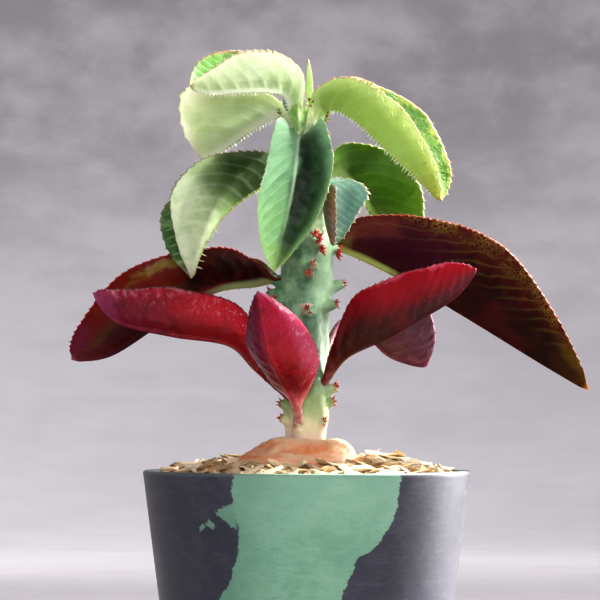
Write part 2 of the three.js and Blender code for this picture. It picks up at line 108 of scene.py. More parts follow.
class Wire:                                  # a shader value that works in sums
    def __init__(self, tree, socket):
        self.tree = tree
        self.socket = socket

    def maths(self, operation, first, second=0.0):
        node = addNode(self.tree, "ShaderNodeMath", {"operation": operation}, {0: first, 1: second})
        return Wire(self.tree, node.outputs[0])

    def __add__(self, other):
        return self.maths("ADD", self, other)

    def __sub__(self, other):
        return self.maths("SUBTRACT", self, other)

    def __rsub__(self, other):
        return self.maths("SUBTRACT", other, self)

    def __mul__(self, other):
        return self.maths("MULTIPLY", self, other)

    __radd__, __rmul__ = __add__, __mul__

    def __truediv__(self, other):
        return self.maths("DIVIDE", self, other)

    def __abs__(self):
        return self.maths("ABSOLUTE", self)

    def fraction(self):
        return self.maths("FRACT", self)

    def highest(self, other):
        return self.maths("MAXIMUM", self, other)

    def lowest(self, other):
        return self.maths("MINIMUM", self, other)

    def turned(self, other):
        return self.maths("ARCTAN2", self, other)

    def rise(self, low, high):               # 0 below low, 1 above high, smooth between
        node = addNode(self.tree, "ShaderNodeMapRange", {"interpolation_type": "SMOOTHSTEP"},
                       {"Value": self, "From Min": low, "From Max": high})
        return Wire(self.tree, node.outputs[0])

    def fall(self, low, high):
        return 1 - self.rise(low, high)


class Finish:                                # one material and its nodes
    def __init__(self, name):
        self.material = bpy.data.materials.new(name)
        self.material.use_nodes = True
        self.tree = self.material.node_tree
        self.tree.nodes.clear()

    def node(self, kind, settings=None, values=None, output=0):
        return Wire(self.tree, addNode(self.tree, kind, settings, values).outputs[output])

    def place(self):
        return self.node("ShaderNodeTexCoord", output="Object")

    def attribute(self, name, output="Vector"):
        return self.node("ShaderNodeAttribute", {"attribute_name": name}, output=output)

    def parts(self, vector):
        node = addNode(self.tree, "ShaderNodeSeparateXYZ", values={0: vector})
        return [Wire(self.tree, socket) for socket in node.outputs]

    def joined(self, x, y, z=0.0):
        return self.node("ShaderNodeCombineXYZ", values={0: x, 1: y, 2: z})

    def stretched(self, vector, scale):
        return self.node("ShaderNodeMapping", values={"Vector": vector, "Scale": scale})

    def noise(self, vector, scale, detail=3.0, roughness=0.55, distortion=0.0):
        return self.node("ShaderNodeTexNoise", values={
            "Vector": vector, "Scale": scale, "Detail": detail, "Roughness": roughness,
            "Distortion": distortion})

    def grain(self, vector, scale, *rest):   # noise that is drawn out along one way
        return self.noise(self.stretched(vector, scale), 1.0, *rest)

    def cells(self, vector, scale, feature="F1"):
        values = {"Vector": vector, "Scale": scale}
        return self.node("ShaderNodeTexVoronoi", {"feature": feature}, values, "Distance")

    def mix(self, factor, first, second):
        return self.node("ShaderNodeMix", {"data_type": "RGBA"}, {0: factor, 6: first, 7: second}, 2)

    def over(self, mask, tint):              # lays a tint over the colour so far, where the mask is
        self.colour = self.mix(mask, self.colour, tint)

    def ramp(self, value, stops):
        return self.node("ShaderNodeValToRGB", {"stops": stops}, {0: value})

    def bump(self, height, distance, strength=1.0):
        values = {"Height": height, "Distance": distance, "Strength": strength}
        return self.node("ShaderNodeBump", values=values)

    def shaded(self, values):
        shader = addNode(self.tree, "ShaderNodeBsdfPrincipled", values={"Base Color": self.colour, **values})
        addNode(self.tree, "ShaderNodeOutputMaterial", values={"Surface": shader.outputs[0]})
        return self.material


def newTree(name, sockets):                  # a geometry tree with named inputs and its group nodes
    tree = bpy.data.node_groups.new(name, "GeometryNodeTree")
    tree.interface.new_socket("Geometry", in_out="INPUT", socket_type="NodeSocketGeometry")
    for label, kind in sockets:
        tree.interface.new_socket(label, in_out="INPUT", socket_type="NodeSocket" + kind)
    tree.interface.new_socket("Geometry", in_out="OUTPUT", socket_type="NodeSocketGeometry")
    return tree, addNode(tree, "NodeGroupInput").outputs, addNode(tree, "NodeGroupOutput").inputs[0]


def randomNode(tree, kind, low, high, seed):
    first = 0 if kind == "FLOAT_VECTOR" else 2
    values = {first: low, first + 1: high, "Seed": seed}
    return addNode(tree, "FunctionNodeRandomValue", {"data_type": kind}, values).outputs[first // 2]


def straying(tree, ways, amount, seed):      # a random vector, up to an amount along each way
    low, high = (addNode(tree, "ShaderNodeVectorMath", {"operation": "SCALE"}, {
        0: tuple(sign * way for way in ways), "Scale": amount}) for sign in (-1, 1))
    return randomNode(tree, "FLOAT_VECTOR", low, high, seed)


def closeTree(tree, instances, finish, result):   # real meshes with a finish on them
    real = addNode(tree, "GeometryNodeRealizeInstances", values={"Geometry": instances})
    done = addNode(tree, "GeometryNodeSetMaterial", values={"Geometry": real, "Material": finish})
    plug(tree, result, done)
    return tree


def newObject(name, data):
    thing = bpy.data.objects.new(name, data)
    scene.collection.objects.link(thing)
    return thing


def finalMesh(thing):                        # a plain mesh with the object's modifiers in it
    bpy.context.view_layer.update()
    return bpy.data.meshes.new_from_object(thing.evaluated_get(bpy.context.evaluated_depsgraph_get()))


def treeResult(name, mesh, tree, values):    # runs a tree on a mesh and keeps the result as a mesh
    source = newObject(name + "Source", mesh)
    modifier = source.modifiers.new("tree", "NODES")
    modifier.node_group = tree
    for item in tree.interface.items_tree:
        if item.in_out == "INPUT" and item.name in values:
            modifier[item.identifier] = values[item.name]
    result = finalMesh(source)
    result.name = name
    source.modifiers.remove(modifier)
    bpy.data.objects.remove(source)
    return result


# ---- meshes and pieces ----

def addPiece(name, mesh, finish, replaced=(), smooth=True):
    piece = newObject(name, mesh)
    if finish:
        mesh.materials.clear()
        mesh.materials.append(finish)
    mesh.polygons.foreach_set("use_smooth", [smooth] * len(mesh.polygons))
    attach(piece, "root")
    if replaced:
        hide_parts(*replaced)
    return piece


def mark(mesh, marks):                       # keeps a number or a vector at each point under a name
    for key, values in marks.items():
        values = np.asarray(values, np.float32)
        kind, field = ("FLOAT_VECTOR", "vector") if values.ndim == 2 else ("FLOAT", "value")
        mesh.attributes.new(key, kind, "POINT").data.foreach_set(field, values.ravel())


def meshOf(name, points, faces, marks=None, edges=()):   # points in millimetres
    mesh = bpy.data.meshes.new(name)
    mesh.from_pydata((np.asarray(points) * mm).tolist(), edges, faces)
    mark(mesh, marks or {})
    mesh.update()
    return mesh


def ringFaces(start, rings, sides):          # between rings of points that follow each other
    faces = []
    for a in range(start, start + (rings - 1) * sides, sides):
        for j in range(sides):
            k = (j + 1) % sides
            faces.append((a + j, a + k, a + sides + k, a + sides + j))
    return faces


def smoothStep(value, low, high):
    share = np.clip((np.asarray(value, float) - low) / (high - low), 0, 1)
    return share * share * (3 - 2 * share)


def unit(vectors):
    return vectors / np.maximum(np.linalg.norm(vectors, axis=-1, keepdims=True), 1e-9)


def turnedMesh(name, profile, sides, shift=None):   # closed profile of radius and height about Z
    rings = np.asarray(profile, float)
    angles = np.arange(sides) * 2 * math.pi / sides
    points = np.stack([
        rings[:, None, 0] * np.cos(angles), rings[:, None, 0] * np.sin(angles),
        np.repeat(rings[:, 1:2], sides, axis=1)], axis=-1)
    if shift is not None:
        points = shift(points, angles)
    count = len(rings)
    flat, faces = points.reshape(-1, 3).tolist(), ringFaces(0, count, sides)
    for ring, flip in ((0, True), (count - 1, False)):
        flat.append(points[ring].mean(axis=0).tolist())
        centre = len(flat) - 1
        for j in range(sides):
            a, b = ring * sides + j, ring * sides + (j + 1) % sides
            faces.append((centre, b, a) if flip else (centre, a, b))
    return meshOf(name, flat, faces)


def noiseField(points, scale, seed=0):       # smooth noise from -1 to 1 at points in millimetres
    offset = Vector((seed * 17.3, seed * 5.1, seed * 9.7))
    return np.array([noise.noise(Vector(p) * scale + offset) for p in points])


def meshPoints(mesh):
    values = np.zeros(len(mesh.vertices) * 3)
    mesh.vertices.foreach_get("co", values)
    return values.reshape(-1, 3) / mm


def setPoints(mesh, points):
    mesh.vertices.foreach_set("co", (np.asarray(points) * mm).ravel())
    mesh.update()


def vertexNormals(mesh):
    values = np.zeros(len(mesh.vertices) * 3)
    mesh.vertices.foreach_get("normal", values)
    return values.reshape(-1, 3)


# ---- camera, light and floor ----

view = {"stand": (-1.8, -1000, 109.3), "aim": (-1.8, 0, 132.75), "field": 165, "sensor": 36}


def makeCamera():
    stand, aim = Vector(view["stand"]), Vector(view["aim"])
    data = bpy.data.cameras.new("camera")
    data.sensor_width = view["sensor"]
    data.lens = view["sensor"] * (aim - stand).length / view["field"]
    camera = newObject("camera", data)
    camera.location = stand * mm
    camera.rotation_euler = (aim - stand).to_track_quat("-Z", "Y").to_euler()
    scene.camera = camera


lights = {                                   # place and aim in millimetres, power in watts
    "key": {"place": (535, 290, 580), "aim": (0, 0, 140), "size": 170, "power": 31,
            "colour": (1, 0.97, 0.92)},
    "side": {"place": (560, 330, 160), "aim": (0, 0, 110), "size": 190, "power": 7,
             "colour": (1, 0.98, 0.96)},
    "fill": {"place": (-120, -900, 400), "aim": (0, 0, 110), "size": 500, "power": 3.5,
             "colour": (0.97, 0.98, 1)},
    "beam": {"place": (600, -190, 300), "aim": (-5, -5, 168), "size": 60, "power": 0.034, "spread": 16,
             "colour": (1, 0.98, 0.94)},
    "wall": {"place": (-300, 500, 1500), "aim": (200, 2900, 300), "size": 900, "power": 34,
             "colour": (0.99, 0.975, 0.985)},
}
room = {"floorColour": "#989499", "floorTint": "#bab6ba", "bend": 1500, "wall": 3000, "height": 2600,
        "sides": 96, "low": -0.05, "worldLight": 0.12, "worldColour": (0.62, 0.62, 0.66, 1)}


def makeLights():
    for name, lamp in lights.items():
        data = bpy.data.lights.new(name, "AREA")
        data.shape = "DISK"
        data.size = lamp["size"] * mm
        data.energy = lamp["power"]
        data.color = lamp["colour"]
        data.spread = math.radians(lamp.get("spread", 180))
        light = newObject(name, data)
        light.location = Vector(lamp["place"]) * mm
        way = Vector(lamp["aim"]) - Vector(lamp["place"])
        light.rotation_euler = way.to_track_quat("-Z", "Y").to_euler()
        light.visible_camera = False
    world = bpy.data.worlds.new("room")
    world.use_nodes = True
    world.node_tree.nodes.clear()
    back = addNode(world.node_tree, "ShaderNodeBackground", values={
        "Color": room["worldColour"], "Strength": room["worldLight"]})
    addNode(world.node_tree, "ShaderNodeOutputWorld", values={"Surface": back.outputs[0]})
    scene.world = world


def makeFloor():                             # a flat floor that bends up into a round wall
    bend, wall = room["bend"], room["wall"]
    radius = wall - bend
    arc = [(bend + radius * math.sin(a), radius - radius * math.cos(a))
           for a in np.linspace(0, math.pi / 2, 17)]
    profile = [(40, 0), (400, 0)] + arc + [(wall, room["height"])]
    sides, low = room["sides"], room["low"]
    points = [(0, 0, low)]
    for r, z in profile:
        for angle in (2 * math.pi * j / sides for j in range(sides)):
            points.append((r * math.cos(angle), r * math.sin(angle), z or low))
    faces = [(0, 1 + j, 1 + (j + 1) % sides) for j in range(sides)]
    faces += [face[::-1] for face in ringFaces(1, len(profile), sides)]
    paint = Finish("studioPaper")
    x, y, z = paint.parts(paint.place())
    spot = paint.stretched(paint.place(), (1, 1, 0.6))
    broad, cloud = paint.noise(spot, 4.5, 3, 0.5), paint.noise(spot, 18, 5, 0.65)
    blend = (broad * 0.6 + cloud * 0.4).rise(0.36, 0.64)
    paint.colour = paint.mix(blend, room["floorColour"], room["floorTint"])
    paint.over((z / mm).fall(120, 420) * 0.6, "#d8d5da")
    away = x.maths("SQRT", x * x + y * y) / mm
    # painted light: the far floor lighter, where the lamps' light falls off; painted shade: the floor darker
    # near the pot, where the lamps light it most
    paint.over(away.rise(850, 1450) * (z / mm).fall(10, 170) * 0.28, "#e8e6ea")
    paint.over(away.fall(850, 1350) * 0.72, "#625f66")
    mesh = meshOf("studioFloor", points, faces)
    mesh.materials.append(paint.shaded({"Roughness": 0.9}))
    mesh.polygons.foreach_set("use_smooth", [True] * len(mesh.polygons))
    newObject("studioFloor", mesh)


# ---- pot ----

pot = {
    "height": 86, "rimRadius": 45, "baseRadius": 34, "wall": 3, "floor": 4, "bevel": 0.7,
    "sides": 180, "ringStep": 1.1, "ringDepth": 0.035,
    "drains": 4, "drainRadius": 3, "drainOffset": 16, "drainSides": 32,
    "slate": "#444550", "slateLight": "#54555f", "slateDark": "#33343d",
    "sage": "#7cab90", "sageLight": "#90bda1", "sageDark": "#659982",
    # the sage patch's left and right side as seen from the front: x and height
    "patchLeft": [(-25, 0), (-24, 20), (-22, 36), (-24, 50.3), (-22.3, 54.4), (-20.4, 57.8),
                  (-19.3, 61.2), (-18.5, 64.5), (-18.2, 67.9), (-18.9, 72.5), (-19.5, 76.9),
                  (-19.8, 81.4), (-19.4, 86)],
    "patchRight": [(12, 0), (15, 20), (10, 38), (8.7, 50.2), (10.1, 55), (10.9, 57.9), (12.5, 60.7),
                   (13.6, 63.7), (17.3, 65.7), (20.6, 69.6), (23.2, 74.7), (24.3, 79.7), (24.8, 85.4)],
}


def potRadius(z):
    return pot["baseRadius"] + (pot["rimRadius"] - pot["baseRadius"]) * z / pot["height"]


def makePot():
    height, bevel, wall, floor = pot["height"], pot["bevel"], pot["wall"], pot["floor"]
    turns = np.linspace(0, math.pi / 2, 7)
    profile = [(pot["drainOffset"] * 1.5, 0)]
    profile += [(potRadius(bevel) - bevel + bevel * math.sin(a), bevel - bevel * math.cos(a)) for a in turns]
    heights = np.arange(bevel + pot["ringStep"], height - bevel, pot["ringStep"])
    profile += [(potRadius(z) - pot["ringDepth"] * (i % 2), z) for i, z in enumerate(heights)]
    outer = potRadius(height - bevel) - bevel
    profile += [(outer + bevel * math.cos(a), height - bevel + bevel * math.sin(a)) for a in turns]
    inner = potRadius(height - bevel) - wall + bevel
    profile += [(inner - bevel * math.sin(a), height - bevel + bevel * math.cos(a)) for a in turns]
    profile += [(potRadius(z) - wall, z) for z in np.linspace(height - bevel - 1, floor + 0.5, 24)]
    profile += [(potRadius(floor) - wall - 0.5, floor), (pot["drainOffset"] * 1.5, floor)]
    body = newObject("potWall", turnedMesh("potWall", profile, pot["sides"]))
    cutters = []
    for i in range(pot["drains"]):
        angle = (i + 0.5) * 2 * math.pi / pot["drains"]
        spot = np.array([math.cos(angle), math.sin(angle), 0]) * pot["drainOffset"]
        ends = [(pot["drainRadius"], z) for z in (-2, floor + 2)]
        mesh = turnedMesh("drain", ends, pot["drainSides"])
        setPoints(mesh, meshPoints(mesh) + spot)
        cutter = newObject("drain", mesh)
        modifier = body.modifiers.new("drain", "BOOLEAN")
        modifier.operation = "DIFFERENCE"
        modifier.solver = "EXACT"
        modifier.object = cutter
        cutters.append(cutter)
    result = finalMesh(body)
    for thing in cutters + [body]:
        bpy.data.objects.remove(thing)
    addPiece("potBody", result, potFinish(), ["pot"])
    result.set_sharp_from_angle(angle=math.radians(40))


def potFinish():
    paint = Finish("stonewarePot")
    place = paint.place()
    x, y, z = paint.parts(place)
    up = z / (pot["height"] * mm)
    rings = paint.grain(place, (420, 420, 2400), 4, 0.65)
    bands = paint.grain(place, (110, 110, 520), 4, 0.65)
    cloud = paint.noise(place, 90, 5, 0.65)
    fine = paint.noise(place, 2600, 2, 0.5)
    ragged = (paint.noise(place, 700, 4, 0.7) - 0.5) * 0.022 + (paint.noise(place, 120, 2) - 0.5) * 0.012

    def sideAngle(points):                   # the patch's side, as a half turn either way from the front
        curve = [(h / pot["height"], 0.5 + math.asin(x / potRadius(h)) / math.pi) for x, h in points]
        return paint.node("ShaderNodeFloatCurve", {"curve": curve}, {"Value": up})

    def patch(front):                        # seen from the front, or from behind
        angle = x.turned(y * -1) if front else (x * -1).turned(y)
        spot = angle / math.pi + 0.5 + ragged
        if not front:
            spot = 1.0 - spot
        left, right = sideAngle(pot["patchLeft"]), sideAngle(pot["patchRight"])
        return (spot - left).rise(0.0, 0.003) * (spot - right).fall(-0.003, 0.0)

    across, height = x / mm, z / mm
    spikes = paint.grain(place, (900, 900, 620), 5, 0.8) - 0.5
    tongue = abs(height - 74.9 + (across + 19) * 0.12) - (across + 24.6) * 0.62 + spikes * 4.5
    shardLeft = abs(across + 27.9 - (height - 71.5) * 0.4) / 0.9 + abs(height - 71.5) / 1.3 + spikes * 2
    shardRight = abs(across + 25.5 + (height - 72.3) * 0.5) / 1.2 + abs(height - 72.3) / 1.4 + spikes * 3
    islands = (shardLeft - 0.9).lowest(shardRight - 1.1)
    reach = across.rise(-24.8, -24.2) * across.fall(-19, -18) * y.fall(-0.012, -0.01)
    islandReach = across.rise(-28.8, -28.4) * across.fall(-23.6, -23.2) * y.fall(-0.012, -0.01)
    blots = (tongue.fall(-0.15, 0.15) * reach).highest(islands.fall(-0.15, 0.15) * islandReach)
    sage = patch(True).highest(patch(False)).highest(blots * 0.85)
    darkSide = paint.mix(cloud.rise(0.4, 0.72) * 0.8, pot["slate"], pot["slateLight"])
    darkSide = paint.mix(rings.fall(0.32, 0.5) * 0.5, darkSide, pot["slateDark"])
    darkSide = paint.mix(bands.rise(0.5, 0.7) * 0.22, darkSide, "#6a6973")
    greenSide = paint.mix(cloud.rise(0.35, 0.7), pot["sage"], pot["sageLight"])
    greenSide = paint.mix(rings.fall(0.32, 0.5) * 0.4, greenSide, pot["sageDark"])
    greenSide = paint.mix(bands.rise(0.52, 0.7) * 0.3, greenSide, "#9cc3a8")
    greenSide = paint.mix(up.rise(0.72, 0.98) * (0.2 + bands * 0.3), greenSide, "#a8d2b8")
    # painted shade: the sage darker towards its left side, away from the lamps
    greenSide = paint.mix((across + cloud * 8).fall(-18, 0) * 0.4, greenSide, "#5a8874")
    paint.colour = paint.mix(sage, darkSide, greenSide)
    edging = (cloud + spikes).rise(0.6, 0.9)
    paint.over(edging * 0.12, "#23242c")
    dots = paint.cells(place, 190).fall(0.035, 0.06) * paint.noise(place, 75, 2).rise(0.56, 0.6)
    paint.over(dots * 0.7, "#c9cbc8")
    stains = paint.noise(place, 160, 5, 0.75).rise(0.6, 0.74)
    paint.over(stains * 0.2, "#2c2d35")
    worn = up.rise(0.985, 0.999) * (cloud + 0.4).lowest(1.0)
    paint.over(worn * 0.4, "#8f9a98")
    roughness = 0.45 + (rings - 0.5) * 0.12 + sage * 0.12 + (cloud - 0.5) * 0.4
    relief = rings * 0.25 + bands * 0.4 + fine * 0.2 + cloud * 0.4
    return paint.shaded({"Roughness": roughness, "Specular IOR Level": 0.26,
                         "Normal": paint.bump(relief, 0.0002, 0.5)})


# ---- soil, grit and stone chips ----

cover = {
    "edgeRadius": 40.7, "edgeHeight": 84.6, "innerRadius": 13.5, "innerHeight": 87.4, "bottom": 79.2,
    "moundSides": 120, "moundRings": 30,
    "chipKinds": 14, "chipSize": (9, 5.8, 1.9), "chipSeed": 12, "chipEdge": 38.6,
    "heaps": [(20, 6, 60, 2.4), (-22, 2, 50, 1.8), (4, 24, 90, 1.2), (30, 4, 60, 1.2), (0, -24, 120, -0.9)],
    # spacing, smallest and largest as shares of the chip size, lean, lift and seed
    "layers": {"stoneGrains": (1.3, (0.14, 0.16, 0.2), (0.34, 0.4, 0.6), 0.9, 0.3, 5),
               "stoneChips": (3.0, (0.6, 0.55, 0.6), (1.2, 1.15, 1.3), 0.42, 1.4, 12)},
    "tan": "#ebd0a6", "cream": "#faeacc", "brown": "#c09c6e", "grey": "#978469",
}


def moundHeight(x, y):
    r = math.hypot(x, y)
    share = min(1, max(0, (cover["edgeRadius"] - r) / (cover["edgeRadius"] - cover["innerRadius"])))
    lift = 0.6 * noise.noise(Vector((x / 14, y / 14, 3.1)))
    heap = sum(height * math.exp(-((x - a) ** 2 + (y - b) ** 2) / spread)
               for a, b, spread, height in cover["heaps"])
    return cover["edgeHeight"] + (cover["innerHeight"] - cover["edgeHeight"]) * share ** 0.6 + lift + heap


def makeMound(name, outer, inner, closed):
    sides, rings = cover["moundSides"], cover["moundRings"]
    turns = [(math.cos(a), math.sin(a)) for a in (2 * math.pi * j / sides for j in range(sides))]
    spots = [(r * x, r * y) for r in np.linspace(outer, inner, rings) for x, y in turns]
    points = [(x, y, moundHeight(x, y)) for x, y in spots]
    faces = ringFaces(0, rings, sides)
    if closed:
        low, last = len(points), (rings - 1) * sides
        points += [(r * x, r * y, cover["bottom"]) for r in (outer, inner) for x, y in turns]
        for j in range(sides):
            k = (j + 1) % sides
            faces += [(low + j, low + k, k, j), (last + j, last + k, low + sides + k, low + sides + j),
                      (low + k, low + j, low + sides + j, low + sides + k)]
    return meshOf(name, points, faces)


def chipShapes():                            # angular flakes, each the hull of a few random corners
    draw = random.Random(cover["chipSeed"])
    collection = bpy.data.collections.new("chipShapes")
    for i in range(cover["chipKinds"]):
        shape = bmesh.new()
        length, width, depth = cover["chipSize"]
        width *= draw.uniform(0.6, 1.2)
        depth *= draw.uniform(0.5, 1.2)
        for _ in range(draw.choice((9, 10, 12))):
            angle = draw.uniform(0, 2 * math.pi)
            reach = draw.uniform(0.55, 1)
            x, y = math.cos(angle) * reach * length / 2 * mm, math.sin(angle) * reach * width / 2 * mm
            shape.verts.new((x, y, draw.uniform(-0.5, 0.5) * depth * mm * (1.3 - 0.7 * reach)))
        hull = bmesh.ops.convex_hull(shape, input=shape.verts)
        loose = [v for v in hull["geom_interior"] if isinstance(v, bmesh.types.BMVert)]
        bmesh.ops.delete(shape, geom=loose, context="VERTS")
        bmesh.ops.recalc_face_normals(shape, faces=shape.faces)
        mesh = bpy.data.meshes.new(f"chip{i}")
        shape.to_mesh(mesh)
        shape.free()
        collection.objects.link(bpy.data.objects.new(f"chip{i}", mesh))
    return collection


def chipTree():
    tree, given, result = newTree("chipPile", [
        ("Chip shapes", "Collection"), ("Spacing", "Float"), ("Smallest", "Vector"), ("Largest", "Vector"),
        ("Lean", "Float"), ("Lift", "Float"), ("Seed", "Int"), ("Chip finish", "Material")])
    spread = addNode(tree, "GeometryNodeDistributePointsOnFaces", {"distribute_method": "POISSON"}, {
        "Mesh": given["Geometry"], "Distance Min": given["Spacing"], "Density Max": 400000.0,
        "Seed": given["Seed"]})
    shapes = addNode(tree, "GeometryNodeCollectionInfo", values={
        "Collection": given["Chip shapes"], "Separate Children": True, "Reset Children": True})
    lean = straying(tree, (1, 1, 0), given["Lean"], given["Seed"])
    spin = randomNode(tree, "FLOAT_VECTOR", (0, 0, 0), (0, 0, 2 * math.pi), 3)
    leaned = addNode(tree, "FunctionNodeEulerToRotation", values={0: lean})
    spun = addNode(tree, "FunctionNodeEulerToRotation", values={0: spin})
    tipped = addNode(tree, "FunctionNodeRotateRotation", {"rotation_space": "LOCAL"}, {
        0: spread.outputs["Rotation"], 1: leaned})
    turned = addNode(tree, "FunctionNodeRotateRotation", {"rotation_space": "LOCAL"}, {0: tipped, 1: spun})
    size = randomNode(tree, "FLOAT_VECTOR", given["Smallest"], given["Largest"], 8)
    lift = randomNode(tree, "FLOAT", 0.0, given["Lift"], 21)
    raised = addNode(tree, "ShaderNodeCombineXYZ", values={2: lift})
    moved = addNode(tree, "GeometryNodeSetPosition", values={
        "Geometry": spread.outputs["Points"], "Offset": raised})
    placed = addNode(tree, "GeometryNodeInstanceOnPoints", values={
        "Points": moved, "Instance": shapes, "Pick Instance": True, "Rotation": turned, "Scale": size})
    marked = addNode(tree, "GeometryNodeStoreNamedAttribute", {"data_type": "FLOAT", "domain": "INSTANCE"}, {
        "Geometry": placed, "Name": "tone", "Value": randomNode(tree, "FLOAT", 0.0, 1.0, 31)})
    return closeTree(tree, marked, given["Chip finish"], result)


def chipFinish():
    paint = Finish("stoneChips")
    place = paint.place()
    tone = paint.attribute("tone", "Fac")
    streaks = paint.grain(place, (260, 700, 420), 4, 0.6)
    grain = paint.noise(place, 1500, 3, 0.6)
    paint.colour = paint.ramp(tone, [(0.0, cover["grey"]), (0.08, cover["brown"]), (0.2, cover["tan"]),
                                     (0.7, cover["cream"]), (1.0, "#d0a878")])
    paint.over(streaks.rise(0.45, 0.75) * 0.55, cover["brown"])
    paint.over(grain.rise(0.55, 0.75) * 0.3, "#fbeed8")
    pits = paint.cells(place, 900).fall(0.06, 0.2) * paint.noise(place, 300, 2).rise(0.5, 0.62)
    paint.over(pits * 0.6, "#6b4a2e")
    relief = streaks * 0.6 + grain * 0.5 - pits * 0.5
    return paint.shaded({"Roughness": 0.78 + (grain - 0.5) * 0.3,
                         "Normal": paint.bump(relief, 0.0003, 0.8)})


def gritFinish():
    paint = Finish("gritBed")
    place = paint.place()
    grains = paint.cells(place, 900)
    tint = paint.noise(place, 700, 3)
    paint.colour = paint.ramp(tint, [(0.3, "#84664a"), (0.5, "#b8946a"), (0.7, "#e0c298")])
    paint.over(grains.rise(0.2, 0.5) * 0.6, "#5c4430")
    return paint.shaded({"Roughness": 0.9 + (tint - 0.5) * 0.15,
                         "Normal": paint.bump(1 - grains, 0.0006, 0.9)})


def soilFinish():
    paint = Finish("pottingMix")
    place = paint.place()
    crumbs = paint.cells(place, 500)
    tint = paint.noise(place, 420, 4, 0.6)
    paint.colour = paint.ramp(tint, [(0.3, "#1d140d"), (0.55, "#3b2a1c"), (0.75, "#6a4f36")])
    flecks = paint.cells(place, 260).fall(0.06, 0.12)
    paint.over(flecks * 0.8, "#cfc8b8")
    return paint.shaded({"Roughness": 0.88 + (tint - 0.5) * 0.2,
                         "Normal": paint.bump(1 - crumbs, 0.0009, 0.9)})


def makeCover():
    edge, inner = cover["edgeRadius"], cover["innerRadius"]
    bed = makeMound("gritBed", edge, inner, True)
    addPiece("gritBed", bed, gritFinish(), ["top_dressing"])
    shapes, tree, finish = chipShapes(), chipTree(), chipFinish()
    for name, (spacing, smallest, largest, lean, lift, seed) in cover["layers"].items():
        ground = makeMound(name + "Ground", cover["chipEdge"], inner - 0.5, False)
        mesh = treeResult(name, ground, tree, {
            "Chip shapes": shapes, "Spacing": spacing * mm, "Smallest": smallest, "Largest": largest,
            "Lean": lean, "Lift": lift * mm, "Seed": seed, "Chip finish": finish})
        addPiece(name, mesh, None, smooth=False)
    for thing in list(shapes.objects):
        bpy.data.objects.remove(thing)
    bpy.data.collections.remove(shapes)
    soil = frame["nodes"]["soil"]
    soil.data.materials.clear()
    soil.data.materials.append(soilFinish())


# ---- swollen base ----

caudex = {
    "x": -1.8, "radius": 15.6, "sides": 160, "rows": 120,
    # radius as a share and height, from below up and over the lip into the dish round the stem
    "outline": [(0.02, 64), (0.35, 64.3), (0.62, 71), (0.86, 78), (0.98, 83), (1.05, 86.4), (1.06, 88.4),
                (1.0, 90.3), (0.88, 92.3), (0.75, 93.9), (0.64, 94.9), (0.55, 95.3), (0.47, 94.9),
                (0.42, 94.3), (0.3, 94.1), (0.02, 94.1)],
    "lumps": [(2, 0, 0.6, 0.035), (5, 1 / 3, 0, 0.03), (3, -0.5, 0, 0.02)],   # count, turn, start, amount
    "shoulder": 0.15, "shoulderBand": (88.5, 93.5), "waist": 0.03,            # fuller on the right, above
    "rimAt": 8.8, "rimWidth": 2.6, "rimDrop": 0.25, "sink": 0.35,
    "orange": "#ffa068", "pale": "#ffd4ae", "brown": "#f09460", "cream": "#ffecd6",
}


def roundedLine(points, count):              # a smooth line through points, evenly spaced
    curve = np.array(points, float)
    position, _ = throughPoints(curve)(np.linspace(0, 1, count * 6))
    travelled = np.concatenate([[0], np.cumsum(np.linalg.norm(np.diff(position, axis=0), axis=1))])
    even = np.linspace(0, travelled[-1], count)
    return np.stack([np.interp(even, travelled, position[:, k]) for k in range(position.shape[1])], axis=1)


def throughPoints(points):                   # place and speed on a smooth curve, for shares of its way
    points = np.asarray(points, float)
    reached = np.vstack([2 * points[0] - points[1], points, 2 * points[-1] - points[-2]])
    last = len(points) - 1

    def at(shares):
        way = np.clip(np.asarray(shares, float) * last, 0, last - 1e-9)
        index = way.astype(int)
        t = (way - index)[:, None]
        before, start, end, after = (reached[index + k] for k in range(4))
        leave, arrive = (end - before) / 2, (after - start) / 2
        bow, swing = 3 * (end - start) - 2 * leave - arrive, 2 * (start - end) + leave + arrive
        return (start + leave * t + bow * t ** 2 + swing * t ** 3,
                leave + 2 * bow * t + 3 * swing * t ** 2)
    return at


def makeCaudex():
    rings = roundedLine(caudex["outline"], caudex["rows"])
    rings[:, 0] *= caudex["radius"]

    def lumpy(points, angles):
        z = points[..., 2]
        factor = 1 + sum(amount * np.sin(count * angles + turn * z + start)
                         for count, turn, start, amount in caudex["lumps"])
        fuller = caudex["shoulder"] * smoothStep(z, *caudex["shoulderBand"]) - caudex["waist"]
        rim = np.exp(-((rings[:, :1] - caudex["rimAt"]) / caudex["rimWidth"]) ** 2) * (z > 88)
        uneven = 0.45 * np.sin(angles * 2 - 0.9) + 0.2 * np.sin(angles * 3 + 2) - caudex["rimDrop"]
        points[..., :2] *= (factor + np.cos(angles) * fuller)[..., None]
        points[..., 2] += rim * uneven
        return points

    mesh = turnedMesh("swollenBase", rings, caudex["sides"], lumpy)
    points, normals = meshPoints(mesh), vertexNormals(mesh)
    wrinkles = noiseField(points * [0.45, 0.45, 1.7], 1.0, 2) * 0.22 + noiseField(points, 0.22, 4) * 0.5
    fine = noiseField(points * [1.1, 1.1, 3.4], 1.0, 6) * 0.08
    points += normals * (wrinkles + fine - caudex["sink"])[:, None]
    points[:, 0] += caudex["x"]
    setPoints(mesh, points)
    addPiece("swollenBase", mesh, caudexFinish(), ["caudex"])


